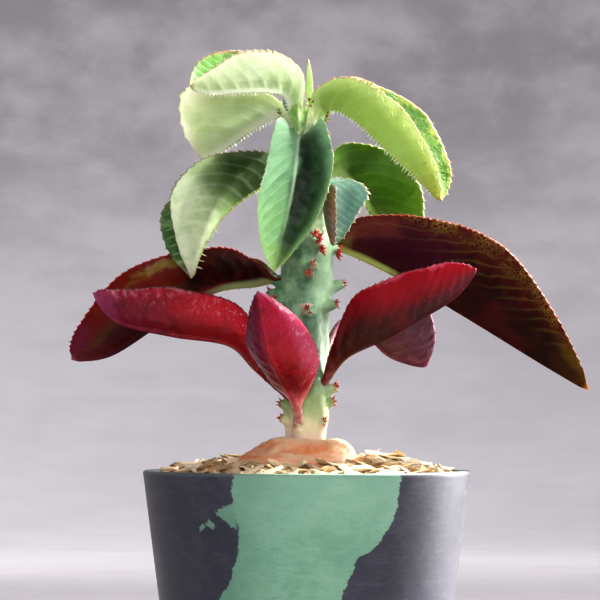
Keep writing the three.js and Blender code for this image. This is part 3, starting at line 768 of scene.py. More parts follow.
def caudexFinish():
    paint = Finish("corkySkin")
    place = paint.place()
    x, y, z = paint.parts(place)
    bands = paint.grain(place, (90, 90, 420), 5, 0.65, 0.6)
    broad = paint.noise(place, 120, 3, 0.5)
    fine = paint.noise(place, 1400, 3, 0.6)
    aside = x / mm - caudex["x"]
    r = x.maths("SQRT", aside * aside + (y / mm) * (y / mm))
    paint.colour = paint.mix(bands.rise(0.35, 0.68), caudex["orange"], caudex["pale"])
    paint.over(broad.rise(0.5, 0.75) * 0.55, caudex["brown"])
    # painted shade on the left side and painted light (cream) on the right side, as the lamps fall
    paint.over((x / mm + broad * 8).fall(-14, -3) * 0.1, "#b0683f")
    paint.over((x / mm).rise(5, 14) * 0.2, caudex["cream"])
    lip = r.rise(7.6, 8.6) * r.fall(9.6, 11.4) * (z / mm).rise(92.6, 94)
    paint.over(lip * (0.35 + bands * 0.6), "#f3d6b2")
    # painted shade down in the dish round the stem
    dish = r.fall(6.6, 7.8) * (z / mm).rise(92, 93)
    paint.over(dish * 0.5, "#a87458")
    dots = paint.cells(place, 330).fall(0.05, 0.12) * paint.noise(place, 150, 2).rise(0.55, 0.62)
    paint.over(dots * 0.75, "#5c3020")
    flakes = paint.grain(place, (330, 330, 620), 5, 0.75, 1.6)
    paint.over(flakes.rise(0.52, 0.62) * 0.6, "#fbdcb8")
    paint.over(flakes.fall(0.36, 0.44) * 0.3, "#c87444")
    relief = bands * 0.8 + fine * 0.3 + flakes * 0.7
    return paint.shaded({"Roughness": 0.6 + (fine - 0.5) * 0.3,
                         "Subsurface Weight": 0.15, "Subsurface Radius": (1.0, 0.4, 0.15),
                         "Subsurface Scale": 0.001, "Normal": paint.bump(relief, 0.0004, 0.7)})


# ---- stem ----

stem = {
    "voxel": 0.42, "smoothing": 5, "angles": 5, "angleDepth": 0.06, "twist": 0.02,
    "rootRadius": 2.7, "tipRadius": 1.2, "droop": 2.6, "rootShare": 0.2,
    "foot": 90.5, "top": 184.2, "ringStep": 0.8, "sides": 72,
    "cap": (183.2, 2.0, 1.6),                # from this height, this radius, and how fast it closes
    "green": "#6a9676", "pale": "#a9cdaa", "dark": "#2f563b", "cream": "#efe3c0", "scar": "#e8bfae",
}
stemOutline = [
    (5.2, 92.2), (5.6, 96), (6.2, 103), (5.7, 110), (5.6, 116), (6.1, 122), (5.9, 129),
    (6.8, 138), (7, 146), (6.3, 156), (5.9, 168), (5.3, 176), (4, 180.5), (2, 183.2),
]
cushions = [                                 # tips of the raised cushions, with the spines on each
    (-3.2, -6.2, 98.2, 1), (5, -4.6, 99.4, 3), (-7, -1.5, 100.4, 4), (1.5, 7.6, 101.5, 3),
    (-7.2, -1.5, 104.4, 4), (7.4, -1.8, 105, 3), (-5, 6.6, 108, 3), (8, -3.6, 108.8, 4),
    (-0.8, 8, 110.4, 2), (5.6, 6, 113.8, 3), (-8, 1, 116.2, 3), (7.2, 3.6, 119.2, 2),
    (-5.2, 6.8, 122.6, 3), (2.4, 8.2, 126.4, 3), (-0.2, -8, 129.8, 5), (8.2, -3.6, 131.8, 5),
    (-8.8, -3.6, 133, 5), (-10.4, 2.4, 135, 4), (4, 8.6, 136, 3), (10.2, -1.4, 137.2, 5),
    (-10.6, 4.4, 138.8, 3), (0.6, -8.6, 139.8, 5), (1.9, -8.4, 142.2, 3), (-3.4, 8.8, 144, 3),
    (8.6, -0.6, 147.2, 4), (3.6, -7.9, 148.4, 5), (-8.2, -2.6, 151, 3), (5.4, 7.2, 154, 3),
    (-6.2, 6, 158, 3), (7.8, -2.4, 160.5, 3), (4.4, -6, 165.2, 2), (5.4, 5.4, 167, 2),
    (-6, -4.2, 168.2, 2), (0, 7.6, 170.4, 2),
]

spineBand = [                                # a dense band of spine clusters below the front leaf
    (2.6, -6.9, 150.6, 4), (3.4, -7.4, 149.8, 5), (4.1, -7.5, 147.4, 5), (4.5, -7.2, 146.3, 4),
    (8.9, -1.6, 145.2, 4), (0.9, -6.9, 144.4, 1),
]


def pegMesh(start, end, startRadius, endRadius, sides=16):
    start, end = np.array(start, float), np.array(end, float)
    along = unit(end - start)
    side = unit(np.cross(along, [0.3, 0.2, 1.0]))
    other = np.cross(along, side)
    angles = np.arange(sides) * 2 * math.pi / sides
    ring = np.cos(angles)[:, None] * side + np.sin(angles)[:, None] * other
    points = np.vstack([start + ring * startRadius, end + ring * endRadius, [start],
                        [end + along * endRadius * 0.5]])
    faces = []
    for j in range(sides):
        k = (j + 1) % sides
        faces += [(j, k, sides + k, sides + j), (2 * sides, k, j), (2 * sides + 1, sides + j, sides + k)]
    return points, faces


def makeStem():
    capHeight, capRadius, capSlope = stem["cap"]
    radii, heights = zip(*stemOutline)
    rings = []
    for z in np.arange(stem["foot"], stem["top"], stem["ringStep"]):
        radius = np.interp(z, heights, radii)
        rings.append((capRadius - capSlope * (z - capHeight) if z > capHeight else radius, z))

    def angled(points, angles):
        z = points[..., 2]
        factor = 1 + stem["angleDepth"] * np.cos(stem["angles"] * (angles + stem["twist"] * z))
        points[..., :2] *= factor[..., None]
        return points

    core = turnedMesh("stemBody", rings, stem["sides"], angled)
    points, faces = meshPoints(core).tolist(), [tuple(f.vertices) for f in core.polygons]
    for x, y, z, _ in cushions:
        root = (x * stem["rootShare"], y * stem["rootShare"], z - stem["droop"])
        morePoints, moreFaces = pegMesh(root, (x, y, z), stem["rootRadius"], stem["tipRadius"])
        start = len(points)
        points += morePoints.tolist()
        faces += [tuple(start + i for i in face) for face in moreFaces]
    rough = newObject("stemRough", meshOf("stemRough", points, faces))
    remesh = rough.modifiers.new("remesh", "REMESH")
    remesh.mode = "VOXEL"
    remesh.voxel_size = stem["voxel"] * mm
    soften = rough.modifiers.new("soften", "SMOOTH")
    soften.factor = 0.5
    soften.iterations = stem["smoothing"]
    mesh = finalMesh(rough)
    bpy.data.objects.remove(rough)
    points, normals = meshPoints(mesh), vertexNormals(mesh)
    swell = noiseField(points, 0.35, 1) * 0.28 + noiseField(points, 0.9, 3) * 0.09
    points += normals * swell[:, None]
    setPoints(mesh, points)
    tips = np.array([c[:3] for c in cushions])
    reach = np.linalg.norm(points[:, None, :] - tips[None, :, :], axis=2).min(axis=1)
    below = tips[None, :, 2] - points[:, None, 2]
    flat = np.linalg.norm(points[:, None, :2] - tips[None, :, :2], axis=2)
    # painted shade that falls below each cushion, kept at each point with the nearness to the cushion tips
    shade = np.exp(-(flat / 3.2) ** 2) * smoothStep(below, 0.2, 2.0) * (1 - smoothStep(below, 4, 9))
    mark(mesh, {"cushionNear": np.exp(-(reach / 1.15) ** 2), "underCushion": shade.max(axis=1)})
    addPiece("stemBody", mesh, stemFinish(), ["stem"])


def stemFinish():
    paint = Finish("stemSkin")
    place = paint.place()
    x, y, z = paint.parts(place)
    height = z / mm
    near, under = paint.attribute("cushionNear", "Fac"), paint.attribute("underCushion", "Fac")
    cloud = paint.noise(place, 170, 4, 0.6)
    streak = paint.grain(place, (520, 520, 150), 4, 0.6)
    fine = paint.noise(place, 1900, 3, 0.6)
    paint.colour = paint.mix(cloud.rise(0.35, 0.65), stem["green"], stem["pale"])
    paint.over(streak.rise(0.52, 0.72) * 0.35, "#bcd6ba")
    # painted highlight: the stem paler on its right side, where the side lamp falls
    paint.over((x / mm + (streak - 0.5) * 4).rise(0.5, 4.5) * 0.45, "#bcd8b2")
    # painted shade below the cushions
    paint.over(under * (0.45 + streak * 0.55), stem["dark"])
    level = height + (cloud - 0.5) * 6
    paint.over(level.fall(99, 104.5) * 0.92, stem["cream"])
    paint.over(level.rise(98, 103) * level.fall(105, 112) * 0.6, "#a9b877")
    paint.over(near * near, "#9c3a2c")
    aside, upward = (x / mm + 0.3) / 2.5, (height - 131.4 + (x / mm) * (x / mm) * 0.04) / 0.42
    scar = (aside * aside + upward * upward + (fine - 0.5) * 0.8).fall(0.6, 1.1)
    paint.over(scar * y.fall(-0.004, -0.002) * 0.85, stem["scar"])
    paint.over((height + (streak - 0.5) * 3).fall(95, 97.5) * 0.7, "#f2d9c9")
    spots = paint.cells(place, 420).fall(0.05, 0.1) * paint.noise(place, 210, 2).rise(0.58, 0.62)
    paint.over(spots * 0.55, "#4c6a45")
    dust = paint.cells(place, 1500).fall(0.1, 0.2) * cloud.rise(0.45, 0.6)
    paint.over(dust * 0.3, "#e9f2e6")
    relief = cloud * 0.6 + streak * 0.5 + fine * 0.25
    return paint.shaded({"Roughness": 0.5 + (fine - 0.5) * 0.25,
                         "Specular IOR Level": 0.22, "Subsurface Weight": 0.2,
                         "Subsurface Radius": (0.6, 1.0, 0.4), "Subsurface Scale": 0.001,
                         "Normal": paint.bump(relief, 0.00035, 0.6)})


# ---- spines ----

def spineTree(spaced):                       # spines on every point, or evenly spaced along a line
    tree, given, result = newTree("spineRow" if spaced else "spineStars", [
        ("Spacing", "Float"), ("Spine length", "Float"), ("Spine radius", "Float"), ("Spread", "Float"),
        ("Uneven", "Float"), ("Seed", "Int"), ("Spine finish", "Material")])
    points = given["Geometry"]
    if spaced:
        line = addNode(tree, "GeometryNodeMeshToCurve", values={"Mesh": points})
        points = addNode(tree, "GeometryNodeResampleCurve", {"mode": "LENGTH"}, {
            "Curve": line, "Length": given["Spacing"]})
    aim = addNode(tree, "GeometryNodeInputNamedAttribute", {"data_type": "FLOAT_VECTOR"}, {"Name": "aim"})
    size = addNode(tree, "GeometryNodeInputNamedAttribute", {"data_type": "FLOAT"}, {"Name": "size"})
    stray = straying(tree, (1, 1, 1), given["Spread"], given["Seed"])
    leaned = addNode(tree, "ShaderNodeVectorMath", {"operation": "ADD"}, {0: aim, 1: stray})
    turn = addNode(tree, "FunctionNodeAlignRotationToVector", {"axis": "Z"}, {"Vector": leaned})
    low, high = (addNode(tree, "ShaderNodeMath", {"operation": operation}, {0: 1.0, 1: given["Uneven"]})
                 for operation in ("SUBTRACT", "ADD"))
    vary = randomNode(tree, "FLOAT", low, high, 5)
    scale = addNode(tree, "ShaderNodeMath", {"operation": "MULTIPLY"}, {0: vary, 1: size})
    cone = addNode(tree, "GeometryNodeMeshCone", values={
        "Vertices": 7, "Side Segments": 2, "Radius Top": 0.0, "Radius Bottom": given["Spine radius"],
        "Depth": given["Spine length"]})
    placed = addNode(tree, "GeometryNodeInstanceOnPoints", values={
        "Points": points, "Instance": cone, "Rotation": turn, "Scale": scale})
    return closeTree(tree, placed, given["Spine finish"], result)


def spineFinish(name, low, high, roughness=0.45):
    paint = Finish(name)
    place = paint.place()
    mottle = paint.noise(place, 900, 3, 0.6)
    paint.colour = paint.mix(mottle.rise(0.4, 0.62), low, high)
    grain = paint.noise(place, 4000, 2)
    return paint.shaded({"Roughness": roughness + (grain - 0.5) * 0.2,
                         "Subsurface Weight": 0.25, "Subsurface Radius": (1.0, 0.5, 0.4),
                         "Subsurface Scale": 0.0005, "Normal": paint.bump(grain, 0.0001, 0.4)})


stemSpines = {
    "seed": 7, "length": 1.75, "radius": 0.43, "spread": 0.2, "uneven": 0.2, "sink": 0.5,
    "perCluster": {1: 2, 2: 4, 3: 6, 4: 9, 5: 9}, "small": (0.55, 0.8), "large": (0.8, 1.15),
    # how far a spine leans out and stands off the cluster's middle: every third one, then the rest
    "lean": (0.25, 1.25), "offset": (0.15, 0.35),
}


def makeStemSpines(tree):
    draw = random.Random(stemSpines["seed"])
    places, aims, sizes = [], [], []
    for x, y, z, count in cushions + spineBand:
        outward = unit(np.array([x, y, 0.0]))
        sideways, upward = np.array([-outward[1], outward[0], 0]), np.array([0, 0, 1.0])
        tip = np.array([x, y, z]) - outward * stemSpines["sink"]
        total = stemSpines["perCluster"][count]
        for i in range(total):
            angle = 2 * math.pi * (i + 0.5 * draw.random()) / total
            spread = sideways * math.cos(angle) + upward * math.sin(angle)
            outer = 1 if i % 3 else 0
            aims.append(unit(outward + spread * stemSpines["lean"][outer]))
            places.append(tip + spread * stemSpines["offset"][outer])
            sizes.append(draw.uniform(*stemSpines["large" if count > 2 else "small"]))
    source = meshOf("spinePoints", places, [], {"aim": aims, "size": sizes})
    mesh = treeResult("stemSpines", source, tree, {
        "Spine length": stemSpines["length"] * mm, "Spine radius": stemSpines["radius"] * mm,
        "Spread": stemSpines["spread"], "Uneven": stemSpines["uneven"], "Seed": 3,
        "Spine finish": spineFinish("redSpines", "#98241c", "#c94632", 0.4)})
    addPiece("stemSpines", mesh, None)


# ---- leaves ----

blade = {
    "ribThickness": 0.95, "middle": 0.42, "edge": 0.16, "thinning": 0.45, "root": 2.6, "rootRows": 3,
    "belly": 0.1, "tipAt": 0.985, "waveLength": 14, "toothPitch": 1.75, "seed": 23,
    "across": [0, 0.035, 0.075, 0.125, 0.185, 0.255, 0.335, 0.42, 0.51, 0.6, 0.69, 0.77, 0.84, 0.9, 0.95,
               0.982, 1],                    # the mesh's columns from the midrib to the edge
    "toothShape": [-0.5, 0.15, 0.7, 1.0],
}


def leafLines(leaf):
    rib = np.array(leaf["rib"], float)
    left, right = np.array(leaf["left"], float), np.array(leaf["right"], float)
    along = unit(rib[1] - rib[0])
    side = left[0] - right[0]
    side = unit(side - along * side.dot(along))
    edges = [np.vstack([rib[0] + way * leaf["stalk"] * side, points, rib[-1]])
             for points, way in ((left, 1), (right, -1))]
    return [throughPoints(line) for line in (rib, *edges)]


def leafSections(leaf, shares):              # the leaf's midrib and halves at shares of its length
    rib, left, right = leafLines(leaf)
    fine = np.linspace(0, 1, 600)
    places, _ = rib(fine)
    travelled = np.concatenate([[0], np.cumsum(np.linalg.norm(np.diff(places, axis=0), axis=1))])
    t = np.interp(shares * blade["tipAt"] * travelled[-1], travelled, fine)
    centre, speed = rib(t)
    along = unit(speed)
    toLeft, toRight = left(t)[0] - centre, right(t)[0] - centre
    leftUp, rightUp = unit(np.cross(along, toLeft)), unit(np.cross(toRight, along))
    return {"centre": centre, "along": along, "up": unit(leftUp + rightUp), "length": travelled[-1],
            "halves": {1: (toLeft, leftUp), -1: (toRight, rightUp)}}


def veinPhase(leaf, alongMm, acrossMm, way):  # whole numbers and a half lie on side veins
    reach = np.abs(acrossMm)
    shift = 0.0 if way > 0 else 0.5
    return (alongMm - leaf["slope"] * reach - leaf["curve"] * reach ** 2) / leaf["pitch"] + shift


def makeLeafMesh(leaf, name):
    draw = random.Random(blade["seed"] + len(name) * 7 + int(abs(leaf["rib"][-1][0]) * 10))
    rib = np.array(leaf["rib"], float)
    roughLength = np.linalg.norm(np.diff(rib, axis=0), axis=1).sum()
    perTooth = len(blade["toothShape"])
    teeth = max(8, round(roughLength / blade["toothPitch"] / leaf["toothScale"]))
    extra = blade["rootRows"]
    shares = np.concatenate([np.zeros(extra), np.linspace(0, 1, teeth * perTooth + 1)])
    form = leafSections(leaf, shares)
    form["centre"][:extra] -= form["along"][:extra] * np.linspace(blade["root"], 0.4, extra)[:, None]
    length = form["length"] * blade["tipAt"]
    tooth = np.maximum(np.arange(len(shares)) - extra, 0)
    centre, along, up = form["centre"], form["along"], form["up"]
    s = np.array(blade["across"])
    taper = (1 - blade["thinning"] * shares) * leaf["slim"]
    close = np.clip((1 - shares) / 0.035, 0, 1) ** 0.7      # draws the halves together at the tip
    stalk = 1 - smoothStep(shares, 0.02, 0.13)
    toothTips, toothAims, skins = [], [], {}
    for way in (1, -1):
        reachVector, halfUp = form["halves"][way]
        reachVector = reachVector * (close * (1 + 0.3 * np.exp(-(shares * length / 1.3) ** 2)))[:, None]
        reach = np.maximum(np.linalg.norm(reachVector, axis=1), 1e-4)
        outward = reachVector / reach[:, None]
        blend = smoothStep(s, 0, 0.35)[None, :, None]
        normal = unit(up[:, None, :] * (1 - blend) + halfUp[:, None, :] * blend)
        across = reach[:, None] * s[None, :]
        alongMm = (shares * length)[:, None] + 0 * across
        middle = centre[:, None, :] + reachVector[:, None, :] * s[None, :, None]
        lift = -blade["belly"] * reach[:, None] * 4 * (s * (1 - s))[None, :]
        swell = np.sin(math.pi * shares) * leaf["wave"]
        turn = 2 * math.pi * shares * length / blade["waveLength"] + way
        lift = lift + (swell * np.sin(turn))[:, None] * s[None, :] ** 2
        ripple = np.array([noise.noise(Vector((a / 2.3, way * 4.0, len(name)))) for a in shares * length])
        ripple = ripple * leaf["ruffle"] * np.sin(math.pi * shares) ** 0.5
        lift = lift + ripple[:, None] * smoothStep(s, 0.45, 1)
        phase = veinPhase(leaf, alongMm, across, way)
        off = np.abs(phase - np.floor(phase) - 0.5)
        body = smoothStep(s, 0.04, 0.3) * (1 - smoothStep(s, 0.86, 1))
        ends = np.sin(math.pi * np.clip(shares, 0, 1)) ** 0.6
        quilt = -np.cos(2 * math.pi * (phase - 0.5)) * body[None, :] * ends[:, None] * leaf["quilt"]
        grain = noiseField(middle.reshape(-1, 3), 0.4, 2).reshape(across.shape) * leaf["crumple"]
        grain += noiseField(middle.reshape(-1, 3), 1.3, 5).reshape(across.shape) * leaf["crumple"] * 0.35
        lift = lift + quilt + grain * body[None, :]
        size = np.array([draw.uniform(0.55, 1.3) for _ in range(teeth + 1)])[tooth // perTooth]
        shape = np.array(blade["toothShape"])[tooth % perTooth]
        envelope = smoothStep(shares, 0.05, 0.16) * (1 - smoothStep(shares, 0.93, 0.99))
        push = shape * size * leaf["tooth"] * envelope
        fall = smoothStep(s, 0.86, 1)
        middle = middle + (outward * push[:, None])[:, None, :] * fall[None, :, None]
        forward = np.where(shape > 0.9, 0.45, 0.0) * leaf["tooth"] * envelope
        middle = middle + (along * forward[:, None])[:, None, :] * fall[None, :, None]
        middle = middle + normal * lift[..., None]
        rounding = np.sqrt(np.clip(1 - (np.clip(s - 0.9, 0, 1) / 0.1) ** 2, 0, 1))
        flat = blade["middle"] * (1 - smoothStep(s, 0.3, 1)) + blade["edge"] * smoothStep(s, 0.3, 1)
        ribWidth = leaf["keelWidth"] * (1.1 - 0.5 * shares[:, None])
        near = np.exp(-(across / ribWidth) ** 2)
        above = (flat[None, :] + (blade["ribThickness"] - blade["middle"]) * near * 0.55) * taper[:, None]
        ribs = np.exp(-(off / 0.13) ** 2) * leaf["ridge"] * body[None, :]
        dents = np.exp(-((across - 2.4) / 1.3) ** 2) * (1 - np.exp(-(off / 0.16) ** 2))
        keel = blade["ribThickness"] - blade["middle"] + leaf["keel"]
        below = (flat[None, :] + keel * near) * taper[:, None]
        below = below + ribs * ends[:, None] - dents * leaf["dent"] * ends[:, None]
        stalkRound = np.sqrt(np.clip(1 - s ** 2, 0, 1))[None, :] * leaf["stalk"] * 0.8
        above = above * (1 - stalk[:, None]) + stalkRound * 0.7 * stalk[:, None]
        below = below * (1 - stalk[:, None]) + stalkRound * 1.1 * stalk[:, None]
        above, below = above * rounding * close[:, None], np.maximum(below, 0.1) * rounding * close[:, None]
        skins[way] = (middle + normal * above[..., None], middle - normal * below[..., None], across, alongMm)
        picked = np.flatnonzero((shape > 0.9) & (envelope > 0.4))
        toothTips += (middle[picked, -1] + outward[picked] * -0.06).tolist()
        toothAims += unit(outward[picked] + along[picked] * 0.45).tolist()
    half = len(s)
    columns = 2 * half - 1

    def spread(left, right):                 # left edge to right edge in one row
        return np.concatenate([left[:, ::-1], right[:, 1:]], axis=1)

    top = spread(skins[1][0], skins[-1][0])
    bottom = spread(skins[1][1], skins[-1][1])
    bottom[:, 0], bottom[:, -1] = top[:, 0], top[:, -1]
    signed = spread(skins[1][2], -skins[-1][2])
    alongMm = spread(skins[1][3], skins[-1][3])
    signedShare = np.concatenate([s[::-1], -s[1:]])[None, :] + 0 * signed
    shareRow = shares[:, None] + 0 * signed
    rows = len(shares)
    index = np.arange(rows * columns).reshape(rows, columns)
    lower = index.copy()
    lower[:, 1:-1] = rows * columns + np.arange(rows * (columns - 2)).reshape(rows, columns - 2)
    points = np.vstack([top.reshape(-1, 3), bottom[:, 1:-1].reshape(-1, 3)])
    faces = []
    for skin, way in ((index, -1), (lower, 1)):
        corners = [skin[:-1, :-1], skin[1:, :-1], skin[1:, 1:], skin[:-1, 1:]]
        faces += np.stack(corners[:1] + corners[1:][::way], axis=-1).reshape(-1, 4).tolist()
    for row, flip in ((0, False), (rows - 1, True)):
        ring = index[row].tolist() + lower[row, -2:0:-1].tolist()
        points = np.vstack([points, points[ring].mean(axis=0)[None, :]])
        hub = len(points) - 1
        for i, corner in enumerate(ring):
            after = ring[(i + 1) % len(ring)]
            faces.append((hub, after, corner) if flip else (hub, corner, after))

    def gathered(grid, ends):
        return np.concatenate([grid.ravel(), grid[:, 1:-1].ravel(), ends])

    under = np.concatenate([np.zeros(rows * columns), np.ones(rows * (columns - 2)), [1, 1]])
    ends = [0.0, length]
    plan = np.stack([gathered(alongMm, ends), gathered(signed, [0, 0]), under], axis=1)
    share = np.stack([gathered(shareRow, [0, 1]), gathered(signedShare, [0, 0]), 0 * under], axis=1)
    mesh = meshOf(name, points, faces, {"leafPlan": plan, "leafShare": share})
    return mesh, (toothTips, toothAims), keelLine(form, shares, taper, leaf)


def keelLine(form, shares, taper, leaf):     # two rows of spines, a little to each side of the keel
    depth = (blade["ribThickness"] + leaf["keel"]) * taper
    low = form["centre"] - form["up"] * (depth - 0.25)[:, None]
    picked = (shares > leaf["spinesFrom"]) & (shares < leaf["spinesTo"])
    sizes = 1 - leaf["spineFade"] * smoothStep(shares, 0.25, 0.4)
    lines = []
    for way in (1, -1):
        outward = unit(form["halves"][way][0])
        aim = unit(-form["up"] + outward * 0.28 + form["along"] * 0.15)
        lines.append(((low + outward * 0.22)[picked], aim[picked], sizes[picked]))
    return lines


def leafFinish(name, leaf):
    paint = Finish(name)
    place = paint.place()
    alongMm, acrossMm, under = paint.parts(paint.attribute("leafPlan"))
    along, across, _ = paint.parts(paint.attribute("leafShare"))
    under = under.rise(0.45, 0.55)
    above = 1 - under
    reach, width = abs(acrossMm), abs(across)
    drift = paint.noise(place, 110, 3, 0.5) - 0.5
    mottle = paint.noise(place, leaf["mottleScale"], 5, 0.65, 0.4)
    blot = paint.noise(place, 75, 4, 0.6, 0.3)
    fine = paint.noise(place, 1500, 3, 0.6)
    slid = along + drift * 0.14
    paint.colour = paint.mix(under, paint.ramp(slid, leaf["upper"]), paint.ramp(slid, leaf["under"]))
    outer, outerFrom, outerShare = leaf["outer"]
    paint.over((width + drift * 0.3).rise(outerFrom, 1.0) * under * outerShare, outer)
    paint.over(mottle.rise(0.46, 0.66) * leaf["mottleShare"], leaf["mottle"])
    blotColour, blotShare = leaf["blot"]
    paint.over((blot + (mottle - 0.5) * 0.5).rise(0.5, 0.66) * blotShare, blotColour)
    side = across.fall(-0.01, 0.01) * 0.5
    wobble = (paint.noise(place, leaf["wobble"][0], 3) - 0.5) * leaf["wobble"][1]
    phase = (alongMm - reach * leaf["slope"] - reach * reach * leaf["curve"]) / leaf["pitch"] + side + wobble
    off = abs(phase.fraction() - 0.5)
    veinWidth = (mottle * 0.8 + 0.6) * leaf["veinWidth"] * (1.25 - width * 0.5)
    line = (off / veinWidth).fall(0.0, 1.0) * width.rise(0.0, 0.1) * width.fall(0.75, 1.0)
    veinFrom, veinTo = leaf["veinBand"]
    line = line * (width + drift * 0.2).rise(veinFrom, veinTo) * (0.55 + mottle * 0.8).lowest(1.0)
    plan = paint.joined((alongMm + drift * 2.5) * leaf["netStretch"], acrossMm + (mottle - 0.5) * 1.6)
    net = paint.cells(plan, leaf["netScale"], "DISTANCE_TO_EDGE").fall(0.0, 0.2) * mottle.rise(0.35, 0.6)
    netFrom, netTo = leaf["netBand"]
    net = net * (width + drift * 0.35).rise(netFrom, netTo)
    net = net * (along + drift * 0.2).rise(leaf["netStart"], leaf["netStart"] + 0.15)
    share = under * leaf["veinUnder"] + above * leaf["veinUpper"]
    netShare = under * leaf["netUnder"] + above * leaf["netUpper"]
    veins = (line * share).highest(net * netShare)
    paint.over(veins, leaf["vein"])
    for face, a, b, sizeA, sizeB, tint, part in leaf["patches"]:
        u, v = (along + drift * 0.22 - a) / sizeA, (across + (mottle - 0.5) * 0.45 - b) / sizeB
        mask = (u * u + v * v).fall(0.0, 1.4) * (mottle.rise(0.32, 0.58) * 0.14 + 0.86) * part
        paint.over(mask * (under if face == "under" else above), tint)
    # painted shade in the dents beside the keel, between the side veins
    hollowColour, hollowShare = leaf["hollowShade"]
    if hollowShare:
        hollowShade = (reach - 2.1) / 1.1
        hollowShade = (hollowShade * hollowShade).fall(0.0, 1.4 + mottle) * off.rise(0.04, 0.26) * along.rise(0.15, 0.3)
        hollowShade = hollowShade * along.fall(0.75, 0.95) * (mottle + 0.35).lowest(1.0)
        paint.over(hollowShade * under * hollowShare, hollowColour)
    keelColour, keelWidth, keelEnd, keelShare = leaf["keelMark"]
    keel = (reach / keelWidth).fall(0.5, 1.2) * (along + drift * 0.2).fall(keelEnd * 0.65, keelEnd)
    paint.over(keel * under * keelShare, keelColour)
    channel = (reach / 0.75).fall(0.3, 1.0) * along.fall(0.3, 1.0)
    paint.over(channel * above * 0.6, leaf["vein"])
    rimColour, rimFrom, rimShare = leaf["rim"]
    rim = width.rise(rimFrom, 1.0) * (mottle.rise(0.3, 0.55) * 0.5 + 0.5) * rimShare
    paint.over(rim, rimColour)
    tipColour, tipFrom, tipShare = leaf["tip"]
    paint.over(along.rise(tipFrom, 1.0) * tipShare, tipColour)
    wrinkles = paint.grain(place, (900, 900, 480), 4, 0.65, 0.8)
    folds = paint.grain(place, (420, 420, 260), 5, 0.7, 1.2)
    if leaf["glints"]:
        glints = (folds * 0.6 + wrinkles * 0.4).rise(0.53, 0.62)
        glints = glints * width.rise(0.45, 0.72) * width.fall(0.9, 1.0)
        glints = glints * along.rise(0.2, 0.4) * (blot.rise(0.42, 0.6) * 0.7 + 0.3)
        paint.over(glints * under * leaf["glints"], "#eeb4c0")
    if leaf["specks"]:
        specks = paint.cells(place, 520).fall(0.05, 0.12) * paint.noise(place, 150, 2).rise(0.5, 0.58)
        paint.over(specks * leaf["specks"], "#ecd4d2")
    roughness = leaf["roughness"] + (fine - 0.5) * 0.22 + (mottle - 0.5) * 0.2
    relief = fine * 0.3 + mottle * 0.5 + veins * (under - above) * 0.4
    relief = relief + wrinkles * leaf["wrinkles"] + folds * leaf["folds"]
    return paint.shaded({
        "Roughness": roughness, "Specular IOR Level": leaf["shine"],
        "Subsurface Weight": leaf["glow"], "Subsurface Radius": leaf["glowColour"],
        "Subsurface Scale": leaf["glowDepth"] * mm, "Coat Weight": leaf["coat"],
        "Coat Roughness": leaf["coatRoughness"], "Normal": paint.bump(relief, 0.0004, leaf["bump"])})


plainLeaf = {                                # what a leaf has unless its kind or its own entry differs
    "spines": None, "teeth": None, "stalk": 1.4, "wave": 0.3, "slim": 1.0, "ruffle": 0.2, "quilt": 0.14,
    "crumple": 0.1, "ridge": 0.05, "dent": 0.0, "tooth": 0.25, "toothScale": 1.0, "slope": 0.55,
    "curve": 0.035, "pitch": 3.9, "keel": 0.85, "keelWidth": 1.05, "spinesFrom": 0.12, "spinesTo": 0.93,
    "spineFade": 0.0, "mottleScale": 160, "mottleShare": 0.25, "blot": ("#000000", 0.0), "veinUnder": 0.2,
    "veinUpper": 0.35, "veinBand": (-0.2, -0.1), "veinWidth": 0.16, "wobble": (160, 0.4),
    "netUnder": 0.03, "netUpper": 0.12, "netScale": 0.7, "netStretch": 1.0, "netBand": (0.15, 0.7),
    "netStart": -0.3, "hollowShade": ("#000000", 0.0), "patches": [], "specks": 0.0, "roughness": 0.42,
    "shine": 0.3, "glow": 0.35, "glowColour": (1.0, 1.0, 0.85), "glowDepth": 1.2, "coat": 0.0,
    "bump": 0.5, "wrinkles": 0.2, "folds": 0.3, "coatRoughness": 0.14, "glints": 0.0
}
greenUpper = [(0.0, "#8cb368"), (0.5, "#7dab58"), (1.0, "#93bb62")]
oliveUpper = [(0.0, "#55612f"), (0.4, "#4f3322"), (1.0, "#6b1a2a")]
leafKinds = {
    "leaf_pale_green": {},
    "leaf_green": {
        "spines": "greenSpines"},
    "leaf_crimson": {
        "teeth": "darkTeeth", "keel": 0.3, "keelWidth": 0.8, "upper": oliveUpper, "veinUnder": 0.06,
        "glow": 0.05, "glowColour": (1.0, 0.15, 0.12)},
    "leaf_wine": {
        "spines": "redKeelSpines", "teeth": "redTeeth", "keel": 0.6, "keelWidth": 0.9, "glow": 0.06,
        "glowColour": (1.0, 0.2, 0.1)},
}
